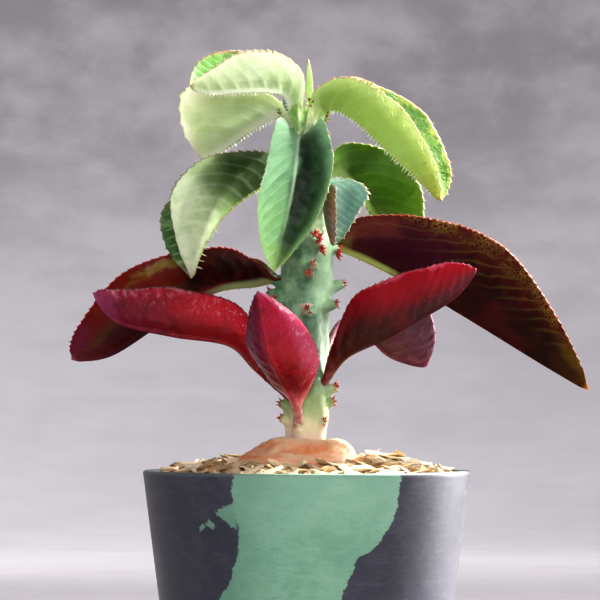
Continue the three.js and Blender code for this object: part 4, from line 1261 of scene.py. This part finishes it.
leaves = {                                   # midrib and edges in millimetres, then form, then colours
    "leaf_crown_left": {
        "slot": "leaf_pale_green", "spines": "paleSpines", "teeth": "paleTeeth",
        "rib": [[-1.9, -8.2, 178.4], [-5, -5.5, 188.5], [-10.5, -7, 190.5], [-18.5, -9, 190],
            [-26.5, -10, 189.5], [-32.5, -11, 191]],
        "left": [[-0.7, -7.5, 193.3], [-7.5, -12, 199.5], [-16.5, -15, 200], [-26, -14.5, 195]],
        "right": [[-2.5, 1, 193], [-9.5, 4, 199], [-21.5, 3, 202], [-29.5, -3, 198]], "wave": 0.5,
        "ruffle": 0.12, "quilt": 0.1, "dent": 0.35, "tooth": 0.2,
        "under": [(0.0, "#bcd084"), (0.25, "#c8dca4"), (0.6, "#d8e8c0"), (1.0, "#cfe0b0")],
        "upper": [(0.0, "#548432"), (0.5, "#4c7c2c"), (1.0, "#548432")], "outer": ("#e2f0cc", 0.35, 0.8),
        "mottle": "#b0c888", "vein": "#eef6e0", "veinUnder": 0.22, "veinUpper": 0.25, "veinWidth": 0.18,
        # painted shade in the dents beside the keel
        "netUpper": 0.06, "netScale": 1.0, "hollowShade": ("#8ca46a", 0.42),
        "keelMark": ("#ebf4d6", 1.1, 1.2, 0.75), "rim": ("#a8684a", 0.93, 0.8),
        "tip": ("#b07858", 0.95, 0.7), "roughness": 0.55, "shine": 0.12, "glow": 0.2, "glowDepth": 1.0,
        "bump": 0.7, "folds": 0.5},
    "leaf_crown_left_rear": {
        "slot": "leaf_pale_green", "spines": "paleSpines", "teeth": "limeTeeth",
        "rib": [[-2, 0.6, 180.5], [-7.5, 3, 184], [-14, 5, 181.5], [-20.5, 6.5, 177], [-25.5, 7.5, 174],
            [-30, 8, 172]],
        "left": [[-8.5, 2, 188.5], [-20, 2.5, 193], [-33.5, 4, 191], [-34.5, 6, 181.5]],
        "right": [[-8, 9, 187.5], [-17, 15, 189], [-26.5, 20, 188.5], [-32, 17, 180]], "stalk": 1.3,
        "quilt": 0.07, "tooth": 0.36, "toothScale": 1.2,
        "under": [(0.0, "#c8d6b2"), (0.4, "#c4d4a6"), (0.8, "#d2e2ae"), (1.0, "#dceab4")],
        "upper": greenUpper, "outer": ("#f0f6d2", 0.35, 0.9), "mottle": "#b0c490", "mottleShare": 0.35,
        "vein": "#dbe4c8", "veinUnder": 0.42, "veinUpper": 0.45, "veinWidth": 0.17,
        "keelMark": ("#dcdcc8", 2.0, 1.2, 0.7), "rim": ("#cfe08a", 0.94, 0.8),
        "tip": ("#c08a74", 0.97, 0.7), "glow": 0.22, "glowDepth": 1.0},
    "leaf_crown_right": {
        "slot": "leaf_pale_green", "spines": "paleSpines", "teeth": "rosyTeeth",
        "rib": [[-1.2, -8.4, 177.8], [6.0, -5.8, 185.6], [13.5, -6.5, 183], [21.7, -7.5, 175],
            [30.5, -8, 166.5], [37.6, -8, 159]],
        "left": [[4.5, 2, 191.5], [16.5, 7, 194], [33, 6, 184], [39.5, -1, 169]],
        "right": [[2.5, -8, 190], [12, -11.5, 193], [24.5, -12.5, 186], [34, -11.5, 172]], "wave": 0.4,
        "ruffle": 0.4, "quilt": 0.1, "tooth": 0.28,
        "under": [(0.0, "#e0eac8"), (0.1, "#bccf92"), (0.2, "#8fae54"), (0.42, "#a4c05e"),
            (0.7, "#b2cb6c"), (1.0, "#a8ac3c")], "upper": [(0.0, "#54822e"), (0.5, "#4e7e2a"),
            (1.0, "#5c8228")], "outer": ("#c4d694", 0.5, 0.6), "mottle": "#8fac48", "mottleShare": 0.35,
        "vein": "#c0d098", "veinUnder": 0.18, "veinUpper": 0.16, "netUpper": 0.06,
        "keelMark": ("#a8bc64", 0.7, 1.2, 0.5), "rim": ("#a06242", 0.95, 0.9),
        "tip": ("#b87838", 0.965, 0.8),
        "patches": [("upper", 0.7, 0.99, 0.5, 0.08, "#b0ba50", 0.7),
            ("under", 0.62, -0.3, 0.3, 0.35, "#a8c468", 0.5)], "roughness": 0.52, "shine": 0.15,
        "glow": 0.15, "glowDepth": 1.0, "bump": 0.9, "folds": 1.2},
    "young_leaf_upright": {
        "slot": "leaf_pale_green",
        "rib": [[0.2, -0.5, 181], [0.3, -0.7, 188.5], [0.4, -1, 194], [0.5, -1.3, 199.4]],
        "left": [[1.6, -1.6, 188.5], [1.6, -1.8, 194]],
        "right": [[1.6, 0.7, 188.5], [1.6, 0.2, 194]], "stalk": 0.8, "wave": 0.0, "slim": 0.45,
        "ruffle": 0.0, "quilt": 0.0, "tooth": 0.08, "keel": 0.5, "keelWidth": 0.6,
        "under": [(0.0, "#b4c896"), (0.5, "#b0c48c"), (1.0, "#a8ba78")], "upper": [(0.0, "#90ac64"),
            (1.0, "#a0b46c")], "outer": ("#b49c7c", 0.5, 0.5), "mottle": "#a8b890", "vein": "#d6e4ba",
        "keelMark": ("#e2ecd0", 0.6, 1.2, 0.7), "rim": ("#b88a64", 0.9, 0.5),
        "tip": ("#b86c4a", 0.88, 0.9), "glow": 0.2},
    "leaf_front": {
        "slot": "leaf_green", "spines": "paleSpines", "teeth": "creamTeeth",
        "rib": [[-1, -3.5, 176.2], [-2, -12.5, 176.2], [-3, -19.5, 168], [-4.5, -21.5, 158.5],
            [-7, -21.5, 148], [-9, -21, 139]],
        "left": [[4, -12.5, 182], [7, -21.5, 172], [5.5, -24.5, 160.5], [-0.5, -24, 149]],
        "right": [[-7.5, -12.5, 182], [-11, -22, 168], [-13.2, -24.5, 157.5], [-12, -23.5, 146.5]],
        "quilt": 0.12, "tooth": 0.16, "slope": 0.35, "curve": 0.06,
        "under": [(0.0, "#a9c084"), (0.5, "#8fb26c"), (1.0, "#a5bf6e")], "upper": [(0.0, "#b4d0b4"),
            (0.15, "#9cc8a0"), (0.5, "#80b47e"), (0.8, "#86b872"), (1.0, "#9cbc60")],
        "outer": ("#a9c688", 0.6, 0.5), "mottle": "#6ca878", "mottleShare": 0.35, "vein": "#d0e8c4",
        "veinUnder": 0.35, "veinUpper": 0.24, "keelMark": ("#c2d098", 1.4, 1.2, 0.7),
        "rim": ("#cfd69c", 0.96, 0.85), "tip": ("#a8bc5c", 0.96, 0.6),
        # painted shade: two dark patches over the half of the upper face that faces away from the lamps
        "patches": [("upper", 0.58, 0.42, 0.52, 0.52, "#0e300c", 1.0),
            ("upper", 0.5, 0.2, 0.36, 0.24, "#081e06", 0.95)], "roughness": 0.45, "shine": 0.25,
        "glow": 0.08},
    "leaf_upper_left": {
        "slot": "leaf_green", "teeth": "brownTeeth",
        "rib": [[-4, -2.6, 168.5], [-12, -7, 165], [-22, -11, 157.5], [-27.5, -13, 149.5],
            [-30.5, -14, 142.5], [-31.5, -14.5, 137.5]],
        "left": [[-12, -9, 173], [-27.5, -14, 171], [-36.5, -17, 161.5], [-35.5, -17.5, 149.5]],
        "right": [[-11.5, 2, 171.5], [-27, 2, 168.5], [-39, -2, 158], [-38.5, -8, 147.5]], "ruffle": 0.25,
        "quilt": 0.12, "tooth": 0.26,
        # painted shadow of the leaves above on the underside near the stem (the dark start of the ramp and
        # the patch); the pale outer part is painted light shining through
        "under": [(0.0, "#26400a"), (0.38, "#2c480c"), (0.5, "#a0c078"), (0.62, "#d0e2b2"),
            (1.0, "#e2eac8")], "upper": [(0.0, "#1f4a1c"), (0.5, "#265424"), (1.0, "#38642c")],
        "outer": ("#cfe0b0", 0.55, 0.35), "mottle": "#98b878", "mottleShare": 0.45, "vein": "#e6f2d4",
        "veinUnder": 0.38, "veinUpper": 0.25, "veinWidth": 0.2, "netUpper": 0.05,
        "keelMark": ("#a0b440", 0.5, 1.2, 0.7), "rim": ("#7a4632", 0.965, 0.7),
        "tip": ("#a8887a", 0.93, 0.6),
        "patches": [("under", 0.28, 0.5, 0.34, 0.9, "#20380a", 0.85)], "glow": 0.2},
    "leaf_upper_right_rear": {
        "slot": "leaf_green", "teeth": "creamTeeth",
        "rib": [[3.7, 3.4, 167], [9.5, 8, 168.5], [15, 14, 163.5], [19, 20, 157.5], [22.5, 25.5, 152],
            [26.5, 29, 148]],
        "left": [[9.5, 15, 174.5], [20, 27, 173], [28, 34, 164.5], [29.5, 35, 155]],
        "right": [[10, 6, 176], [22.5, 10, 174.5], [31.5, 15, 165.5], [32.5, 22, 155]], "quilt": 0.1,
        "tooth": 0.22,
        # painted shadow of the crown leaf above: the underside's dark body and edge; the pale strip along the
        # keel is painted light
        "under": [(0.0, "#98b874"), (0.12, "#84a656"), (0.24, "#2c4a06"), (0.6, "#325806"),
            (1.0, "#487214")], "upper": greenUpper, "outer": ("#26420a", 0.6, 0.4), "mottle": "#44680f",
        "mottleShare": 0.3, "vein": "#688c34", "veinUnder": 0.14, "veinUpper": 0.45, "veinWidth": 0.18,
        "keelMark": ("#a3c078", 1.6, 1.2, 0.6), "rim": ("#4c4218", 0.965, 0.7),
        "tip": ("#a8b878", 0.95, 0.5), "glow": 0.2},
    "leaf_small_right": {
        "slot": "leaf_green", "spines": None, "teeth": "rosyTeeth",
        "rib": [[3.2, -3.8, 165.5], [5.3, -11, 164], [5, -14, 159.5], [5.5, -15.5, 154.5],
            [6.3, -16, 150.5], [7.5, -16, 146.5]],
        "left": [[12.4, -6, 165.7], [16.8, -7, 162], [14.3, -9.5, 156.8], [11.2, -13, 151.2]],
        "right": [[7.4, -17, 163.2], [8, -20, 158.7], [7.8, -20.5, 153.8], [7.8, -18.5, 149.6]],
        "stalk": 1.1, "wave": 0.2, "slim": 0.8, "ruffle": 0.25, "quilt": 0.1, "tooth": 0.5, "pitch": 2.6,
        "keel": 0.5, "keelWidth": 0.8,
        "under": [(0.0, "#6a6c3c"), (0.5, "#6c5440"), (1.0, "#78583e")], "upper": [(0.0, "#86a498"),
            (0.4, "#688c7e"), (0.75, "#446a5a"), (1.0, "#3c6040")], "outer": ("#a07066", 0.45, 0.6),
        "mottle": "#5c8878", "mottleShare": 0.4, "vein": "#b4ccc0", "veinUpper": 0.28, "netUpper": 0.08,
        "keelMark": ("#7d6a44", 1.0, 1.2, 0.6), "rim": ("#cdbd9c", 0.95, 0.7),
        "tip": ("#52704a", 0.95, 0.4),
        "patches": [("upper", 0.55, 0.35, 0.4, 0.4, "#2c5044", 0.55)], "glow": 0.08},
    "leaf_rear": {
        "slot": "leaf_green", "teeth": "brownTeeth",
        "rib": [[0, 4, 170], [-0.5, 13, 175.5], [-1, 24, 172.5], [-2, 33, 163], [-3, 38.5, 152],
            [-4, 41, 142]],
        "left": [[-5, 12.5, 178], [-7.5, 25, 176], [-10.5, 35, 165.5], [-8.5, 41, 152]],
        "right": [[5.5, 12.5, 179], [6.5, 25, 178], [6, 35, 166], [2.5, 41, 152]],
        "under": [(0.0, "#98b274"), (0.5, "#84a65c"), (1.0, "#a5b87a")], "upper": [(0.0, "#4f8850"),
            (0.5, "#417a44"), (1.0, "#5c8c44")], "outer": ("#a5c27c", 0.6, 0.5), "mottle": "#4c8044",
        "mottleShare": 0.3, "vein": "#a9cb98", "veinUnder": 0.4, "veinUpper": 0.55, "veinWidth": 0.12,
        "keelMark": ("#b9c978", 1.2, 1.2, 0.7), "rim": ("#8f6040", 0.96, 0.6),
        "tip": ("#a87e68", 0.94, 0.6)},
    "red_leaf_left_rear": {
        "slot": "leaf_wine",
        "rib": [[-8, 3.5, 138.8], [-14, 6, 137.8], [-26, 10, 135.8], [-41, 14, 127], [-55, 16.5, 118.2],
            [-66.8, 17, 116.4]],
        "left": [[-14, 4, 143.5], [-25.5, 7, 147.5], [-49.5, 11, 141.5], [-63.6, 14.5, 125.8]],
        "right": [[-14, 13, 144.5], [-27, 24, 144], [-46.5, 29, 136.5], [-60, 26, 125]], "stalk": 1.5,
        "quilt": 0.1, "tooth": 0.2, "spinesTo": 0.5,
        "under": [(0.0, "#2c0a0a"), (0.12, "#220204"), (0.42, "#280304"), (0.6, "#400508"),
            (0.8, "#3e0510"), (1.0, "#74303e")], "upper": [(0.0, "#3c4a22"), (0.4, "#40301c"),
            (1.0, "#501c1a")], "outer": ("#500a0c", 0.65, 0.6), "mottle": "#5c180c", "mottleShare": 0.3,
        "blot": ("#58080c", 0.35), "vein": "#6c4a18", "veinUnder": 0.08, "veinUpper": 0.3,
        "keelMark": ("#8c9668", 1.5, 0.4, 0.95), "rim": ("#a01418", 0.965, 0.8),
        "tip": ("#9c6468", 0.96, 0.8),
        "patches": [("under", 0.58, 0.72, 0.26, 0.45, "#741a0a", 0.9),
            ("under", 0.56, 0.36, 0.16, 0.18, "#54400f", 0.8),
            ("under", 0.47, 0.84, 0.1, 0.1, "#86701e", 0.75),
            ("under", 0.6, 0.74, 0.08, 0.05, "#86601a", 0.5),
            ("under", 0.8, 0.46, 0.1, 0.14, "#5c3c1c", 0.5),
            ("under", 0.9, 0.8, 0.12, 0.3, "#70203c", 0.6),
            ("under", 0.33, 0.06, 0.22, 0.12, "#8c1c24", 0.5)], "shine": 0.12, "coat": 0.08},
    "red_leaf_left_front": {
        "slot": "leaf_crimson",
        "rib": [[-3.6, -3.1, 105.6], [-13.3, -9, 113.8], [-21.1, -12, 120.8], [-36.5, -14, 123.2],
            [-51.1, -16, 126.8], [-58.5, -17, 135.2]],
        "left": [[-13.5, -10.5, 114.9], [-17, -16, 129.7], [-34.7, -19, 135.5], [-50.4, -19, 135.1]],
        "right": [[-13, -6.8, 114.5], [-18.3, -2, 126.7], [-35, 2, 133.3], [-49.7, -6, 134.8]],
        "wave": 0.4, "ruffle": 0.35, "quilt": 0.08, "crumple": 0.3, "tooth": 0.14,
        "under": [(0.0, "#8a5048"), (0.14, "#5e0a10"), (0.3, "#8a0212"), (0.6, "#840112"),
            (0.82, "#760628"), (1.0, "#9c3e66")], "outer": ("#b2082c", 0.5, 0.5), "mottle": "#3c0209",
        "mottleScale": 150, "mottleShare": 0.6, "blot": ("#a0041c", 0.5), "vein": "#a01c34",
        "veinUpper": 0.3, "keelMark": ("#8f6248", 0.6, 0.5, 0.5), "rim": ("#40061c", 0.95, 0.8),
        "tip": ("#a8587c", 0.92, 0.7),
        # painted light: the bright crimson band along the upper edge, lit from above
        "patches": [("under", 0.42, 0.65, 0.26, 0.34, "#b80620", 0.75),
            ("under", 0.95, 0.4, 0.12, 0.7, "#a03c60", 0.4)], "specks": 0.35, "shine": 0.1, "coat": 0.5,
        "bump": 0.9, "wrinkles": 1.2, "folds": 2.2, "coatRoughness": 0.24, "glints": 0.6},
    "red_leaf_front": {
        "slot": "leaf_crimson",
        "rib": [[-2, -4.5, 98.8], [-2.9, -8, 103.7], [-6.1, -15, 110.2], [-10.3, -22.5, 118.2],
            [-12.2, -27.5, 126.6], [-13.2, -30, 135.3]],
        "left": [[-1, -7, 104.5], [1.7, -12, 109.9], [3.2, -17, 117.8], [-2.4, -24, 127.4]],
        "right": [[-4.3, -7, 104.7], [-10.5, -13, 111], [-16, -19, 120.2], [-15.6, -25.5, 128.1]],
        "stalk": 1.5, "wave": 0.2, "ruffle": 0.1, "quilt": 0.05, "crumple": 0.12, "tooth": 0.1,
        "keel": 0.25, "keelWidth": 0.9,
        "under": [(0.05, "#f0dcc4"), (0.12, "#e8a898"), (0.2, "#cc5a64"), (0.3, "#98041a"),
            (0.55, "#9c0420"), (1.0, "#a81038")], "outer": ("#a01038", 0.65, 0.3), "mottle": "#5e0212",
        "mottleShare": 0.6, "blot": ("#b80828", 0.5), "vein": "#b04862",
        "keelMark": ("#b83048", 0.6, 0.35, 0.5), "rim": ("#a03454", 0.965, 0.4),
        "tip": ("#b8507a", 0.94, 0.6),
        "patches": [("under", 0.62, -0.75, 0.62, 0.75, "#601438", 0.95),
            ("under", 0.3, 0.3, 0.2, 0.5, "#6a0210", 0.5),
            # painted sheen: the pink patch near the upper right edge
            ("under", 0.74, 0.8, 0.34, 0.3, "#c2507c", 0.45)], "specks": 0.4, "shine": 0.08, "coat": 0.35,
        "bump": 0.9, "wrinkles": 1.5, "folds": 1.4, "coatRoughness": 0.22, "glints": 0.5},
    "red_leaf_right_front": {
        "slot": "leaf_crimson",
        "rib": [[4.8, -2.7, 110.4], [10.5, -8, 117.4], [19.9, -12, 122], [30.7, -15, 127.8],
            [40.1, -17.5, 133.7], [46.4, -19, 141.5]],
        "left": [[9.1, -3, 120.5], [18, 1, 131.4], [30, -2, 136], [39.6, -10, 140.1]],
        "right": [[7.2, -10, 121], [13.3, -16.5, 133.7], [26.5, -21, 139.4], [37.2, -22, 142.2]],
        "wave": 0.7, "ruffle": 0.45, "crumple": 0.25, "tooth": 0.16,
        "under": [(0.0, "#a0606a"), (0.08, "#6a2c24"), (0.18, "#3c0406"), (0.4, "#300205"),
            # painted shade: the underside's dark body, which faces down away from the lamps; painted light:
            # the bright crimson band along the upper edge, with a thin pink painted sheen line
            (0.75, "#3c0307"), (1.0, "#600412")], "outer": ("#74020f", 0.45, 0.6), "mottle": "#300205",
        "mottleShare": 0.45, "blot": ("#6a0614", 0.4), "vein": "#861a2c", "veinUnder": 0.08,
        "veinUpper": 0.3, "keelMark": ("#7a4a40", 0.5, 0.45, 0.5), "rim": ("#a03a50", 0.975, 0.5),
        "tip": ("#a01c34", 0.95, 0.5),
        "patches": [("under", 0.72, -0.98, 0.46, 0.7, "#98021a", 0.85),
            ("under", 0.72, -0.98, 0.3, 0.06, "#c4607a", 0.5)], "specks": 0.3, "shine": 0.1, "coat": 0.25,
        "bump": 0.7, "wrinkles": 0.8, "folds": 1.2, "coatRoughness": 0.28},
    "red_leaf_right_rear": {
        "slot": "leaf_crimson",
        "rib": [[4.8, 3, 119], [9.5, 8, 126.8], [15.5, 13, 125.3], [22.3, 19, 118.6], [28.6, 23, 115.8],
            [34.8, 26, 114.6]],
        "left": [[9.9, 10.5, 127.4], [17.3, 22, 130.5], [25.9, 30, 127.8], [31.6, 31, 120.4]],
        "right": [[10.1, 6.5, 128.2], [18.2, 9, 135.2], [31.1, 14, 135.3], [36, 20, 124.8]], "quilt": 0.1,
        "crumple": 0.3, "tooth": 0.12,
        "under": [(0.0, "#e3b5b5"), (0.16, "#b06a7c"), (0.3, "#4c0a20"), (0.6, "#3c0618"),
            (1.0, "#4c0c24")], "outer": ("#400c22", 0.6, 0.5), "mottle": "#7a4660", "mottleScale": 260,
        "mottleShare": 0.2, "vein": "#8a4860", "keelMark": ("#78303f", 0.8, 0.8, 0.4),
        "rim": ("#b06a84", 0.955, 0.6), "tip": ("#a85870", 0.95, 0.6),
        # painted sheen: the pale mauve patch
        "patches": [("under", 0.7, -0.6, 0.2, 0.4, "#a88098", 0.14)], "specks": 0.2, "shine": 0.14,
        "glow": 0.06, "glowColour": (1.0, 0.2, 0.2), "coat": 0.1, "folds": 0.8, "glints": 0.45},
    "red_leaf_right_large": {
        "slot": "leaf_wine",
        "rib": [[6, 0.6, 148.3], [14.7, 3.5, 145.4], [30, 6.5, 137.6], [47.7, 9, 127], [64.9, 11, 116.3],
            [79.8, 12, 107.4]],
        "left": [[15.5, 11, 151], [34, 20.5, 144], [52, 25.5, 132.5], [67, 21.5, 119]],
        "right": [[15, 0, 155.6], [35.6, 1, 155], [54.8, 4, 147.3], [69.4, 8, 128.2]], "stalk": 1.7,
        "wave": 0.4, "quilt": 0.16, "crumple": 0.12, "ridge": 0.08, "tooth": 0.24, "slope": 1.7,
        "curve": 0.02, "pitch": 6.5, "spinesFrom": 0.04, "spineFade": 0.65,
        "under": [(0.0, "#7a7a40"), (0.1, "#42201a"), (0.2, "#300a12"), (0.4, "#280409"),
            (0.6, "#220402"), (0.85, "#200a01"), (1.0, "#442806")], "upper": [(0.0, "#536b30"),
            (0.4, "#425a28"), (1.0, "#5c5a24")], "outer": ("#420e0a", 0.5, 0.75), "mottle": "#40180a",
        "mottleShare": 0.45, "blot": ("#40080e", 0.5), "vein": "#7c742a", "veinUnder": 0.22,
        "veinUpper": 0.5, "veinBand": (0.25, 0.85), "veinWidth": 0.22, "wobble": (95, 1.4),
        "netUnder": 0.6, "netScale": 1.1, "netStretch": 0.9, "netBand": (0.7, 0.98), "netStart": 0.2,
        "keelMark": ("#98a65c", 1.5, 0.32, 0.95), "rim": ("#7c2c30", 0.975, 0.85),
        "tip": ("#cf7f2c", 0.97, 0.9),
        "patches": [("under", 0.26, -0.5, 0.16, 0.4, "#380e22", 0.7),
            ("under", 0.09, -0.75, 0.14, 0.3, "#6a3028", 0.6),
            ("under", 0.92, -0.75, 0.1, 0.3, "#5a4a0c", 0.6)], "shine": 0.08,
        "glowColour": (1.0, 0.3, 0.1), "wrinkles": 0.6, "folds": 0.8},
    "red_leaf_rear": {
        "slot": "leaf_wine",
        "rib": [[-1, 4.5, 110], [-2, 13, 115], [-4, 25, 117.5], [-5.5, 37, 117], [-6.5, 48, 114.5],
            [-6.5, 56, 111.5]],
        "left": [[-5.5, 12.5, 118], [-13.5, 25, 124], [-15, 38, 124], [-12, 49, 119]],
        "right": [[2, 12.5, 118], [4, 25, 122.5], [4, 38, 122], [0, 49, 117]], "tooth": 0.22,
        "spineFade": 0.5,
        "under": [(0.0, "#7c5a44"), (0.15, "#481416"), (0.6, "#560a18"), (1.0, "#701a2e")],
        "upper": [(0.0, "#536b30"), (0.4, "#4c5426"), (1.0, "#6a3020")], "outer": ("#701422", 0.5, 0.7),
        "mottle": "#30070c", "mottleShare": 0.4, "vein": "#86742a", "veinUnder": 0.18, "veinUpper": 0.45,
        "keelMark": ("#8f7c4e", 1.2, 0.5, 0.7), "rim": ("#8f2830", 0.965, 0.7),
        "tip": ("#a86e50", 0.95, 0.6), "specks": 0.3, "shine": 0.14, "glow": 0.08, "coat": 0.1},
    "crownYoungScale": {
        "slot": "leaf_pale_green",
        "rib": [[-1.5, -9.6, 178.8], [-2.0, -9.6, 181.2], [-2.4, -9, 184], [-2.6, -8.4, 186.4]],
        "left": [[-4.2, -8.8, 182], [-4.4, -8, 184.6]],
        "right": [[0.6, -8.8, 182], [-0.4, -8, 184.8]], "stalk": 1.0, "wave": 0, "slim": 0.8,
        "quilt": 0.0, "tooth": 0.5, "toothScale": 0.8, "keel": 0.2, "keelWidth": 0.9,
        "under": [(0.0, "#daf094"), (0.4, "#ccea74"), (0.75, "#bce068"), (1.0, "#d4ec94")],
        "upper": greenUpper, "outer": ("#ccea80", 0.5, 0.6), "mottle": "#7cac38", "mottleShare": 0.5,
        "vein": "#dcecb8", "veinUnder": 0.0, "keelMark": ("#cfe494", 0.8, 1.2, 0.4),
        "rim": ("#b0cc64", 0.85, 0.8), "tip": ("#c4dc80", 0.8, 0.7), "glow": 0.15},
    "crownInnerLeaf": {
        "slot": "leaf_pale_green",
        "rib": [[-3, -4.8, 182.5], [-4.6, -5.2, 185.2], [-5.2, -5.4, 187.2], [-5.6, -5.6, 189]],
        "left": [[-6.0, -6, 185.2], [-6.4, -6.4, 187.2]],
        "right": [[-3.6, -6.2, 185.8], [-4.2, -6.6, 187.8]], "stalk": 0.8, "wave": 0, "slim": 0.7,
        "quilt": 0.0, "tooth": 0.3, "keel": 0.2, "keelWidth": 0.8,
        "under": [(0.0, "#a4c49c"), (1.0, "#b8d0b0")], "upper": [(0.0, "#7c9c88"), (1.0, "#98b4a0")],
        "outer": ("#8c9c6c", 0.5, 0.5), "mottle": "#6c8878", "vein": "#b0c8b4",
        "keelMark": ("#9cb08c", 0.6, 1.2, 0.5), "rim": ("#7c5038", 0.85, 0.8),
        "tip": ("#8c6a4c", 0.9, 0.7), "glow": 0.1},
}
crownBits = [                                # small spiny scales in the crown: place and aim
    ((5.4, -8.4, 182.9), (0.8, -0.5, 0.4)), ((5.0, -8.6, 182.2), (0.9, -0.4, -0.2)),
    ((5.8, -8.2, 183.5), (0.5, -0.5, 0.7)), ((4.9, -8.7, 181.5), (0.8, -0.5, -0.5)),
    ((1.6, -7.8, 186.6), (0.2, -0.8, 0.6)), ((0.8, -7.8, 187.4), (-0.4, -0.8, 0.5)),
    ((1.2, -8.0, 185.6), (0.1, -1.0, 0.1)), ((0.2, -7.8, 186.0), (-0.6, -0.8, 0.1)),
    ((-7.0, -7.0, 183.6), (-0.9, -0.4, 0.2)), ((-7.4, -6.8, 184.6), (-0.9, -0.4, 0.4)),
    ((-6.6, -7.2, 182.6), (-0.9, -0.5, -0.1)), ((-6.0, -7.4, 181.6), (-0.8, -0.5, -0.3)),
]
spineKinds = {                               # colours low and high, length, radius, spacing, slot
    "paleSpines": ("#dfe6c8", "#f6f5ea", 1.35, 0.17, 1.0, "leaf_pale_green"),
    "greenSpines": ("#cfd89c", "#efe6cf", 1.7, 0.19, 1.9, "leaf_green"),
    "redKeelSpines": ("#a8963c", "#a83c28", 0.9, 0.22, 3.2, "leaf_wine"),
    "paleTeeth": ("#d3e09c", "#e6d6bd", 0.42, 0.16, 0, "leaf_pale_green"),
    "limeTeeth": ("#c3dc76", "#dfeaa8", 0.45, 0.2, 0, "leaf_pale_green"),
    "rosyTeeth": ("#c9805f", "#dfb294", 0.5, 0.17, 0, "leaf_pale_green"),
    "creamTeeth": ("#cfc898", "#e2dcc0", 0.38, 0.14, 0, "leaf_green"),
    "brownTeeth": ("#6a3626", "#98644a", 0.5, 0.17, 0, "leaf_green"),
    "redTeeth": ("#84201f", "#ac4038", 0.42, 0.16, 0, "leaf_wine"),
    "darkTeeth": ("#460818", "#6e1430", 0.35, 0.15, 0, "leaf_crimson"),
    "crownBits": ("#7c3a26", "#93b83c", 1.3, 0.5, 0, "leaf_pale_green"),
}


def pieceName(node):
    words = node.split("_")
    return words[0] + "".join(word.capitalize() for word in words[1:])


def makeLeaves(rowTree, starTree):
    gathered = {kind: {"points": [], "edges": [], "aim": [], "size": []} for kind in spineKinds}

    def gather(kind, points, aims, sizes, joined=False):
        rows = gathered[kind]
        start = len(rows["points"])
        for key, values in (("points", points), ("aim", aims), ("size", sizes)):
            rows[key] += list(values)
        if joined:
            rows["edges"] += [(i, i + 1) for i in range(start, start + len(points) - 1)]

    for node, own in leaves.items():
        leaf = {**plainLeaf, **leafKinds[own["slot"]], **own}
        name = pieceName(node)
        mesh, teeth, keel = makeLeafMesh(leaf, name)
        replaced = [node] if node in frame["nodes"] else []
        addPiece(name, mesh, leafFinish(name + "Skin", leaf), replaced)
        if leaf["teeth"]:
            gather(leaf["teeth"], *teeth, [1.0] * len(teeth[0]))
        if leaf["spines"]:
            for line in keel:
                gather(leaf["spines"], *line, joined=True)
    places, aims = zip(*crownBits)
    gather("crownBits", places, aims, [1.0] * len(places))
    for kind, rows in gathered.items():
        low, high, length, radius, spacing, slot = spineKinds[kind]
        marks = {key: rows[key] for key in ("aim", "size")}
        source = meshOf(kind + "Points", rows["points"], [], marks, rows["edges"])
        mesh = treeResult(kind, source, rowTree if spacing else starTree, {
            "Spacing": spacing * mm, "Spine length": length * mm, "Spine radius": radius * mm,
            "Spread": 0.22, "Uneven": 0.3, "Seed": 11, "Spine finish": spineFinish(kind, low, high)})
        addPiece(kind, mesh, None)


makeCamera()
makeLights()
makeFloor()
print("stage ready")
makePot()
makeCover()
print("pot and cover ready")
makeCaudex()
makeStem()
rowTree, starTree = spineTree(True), spineTree(False)
makeStemSpines(starTree)
print("stem ready")
makeLeaves(rowTree, starTree)
print("leaves ready")
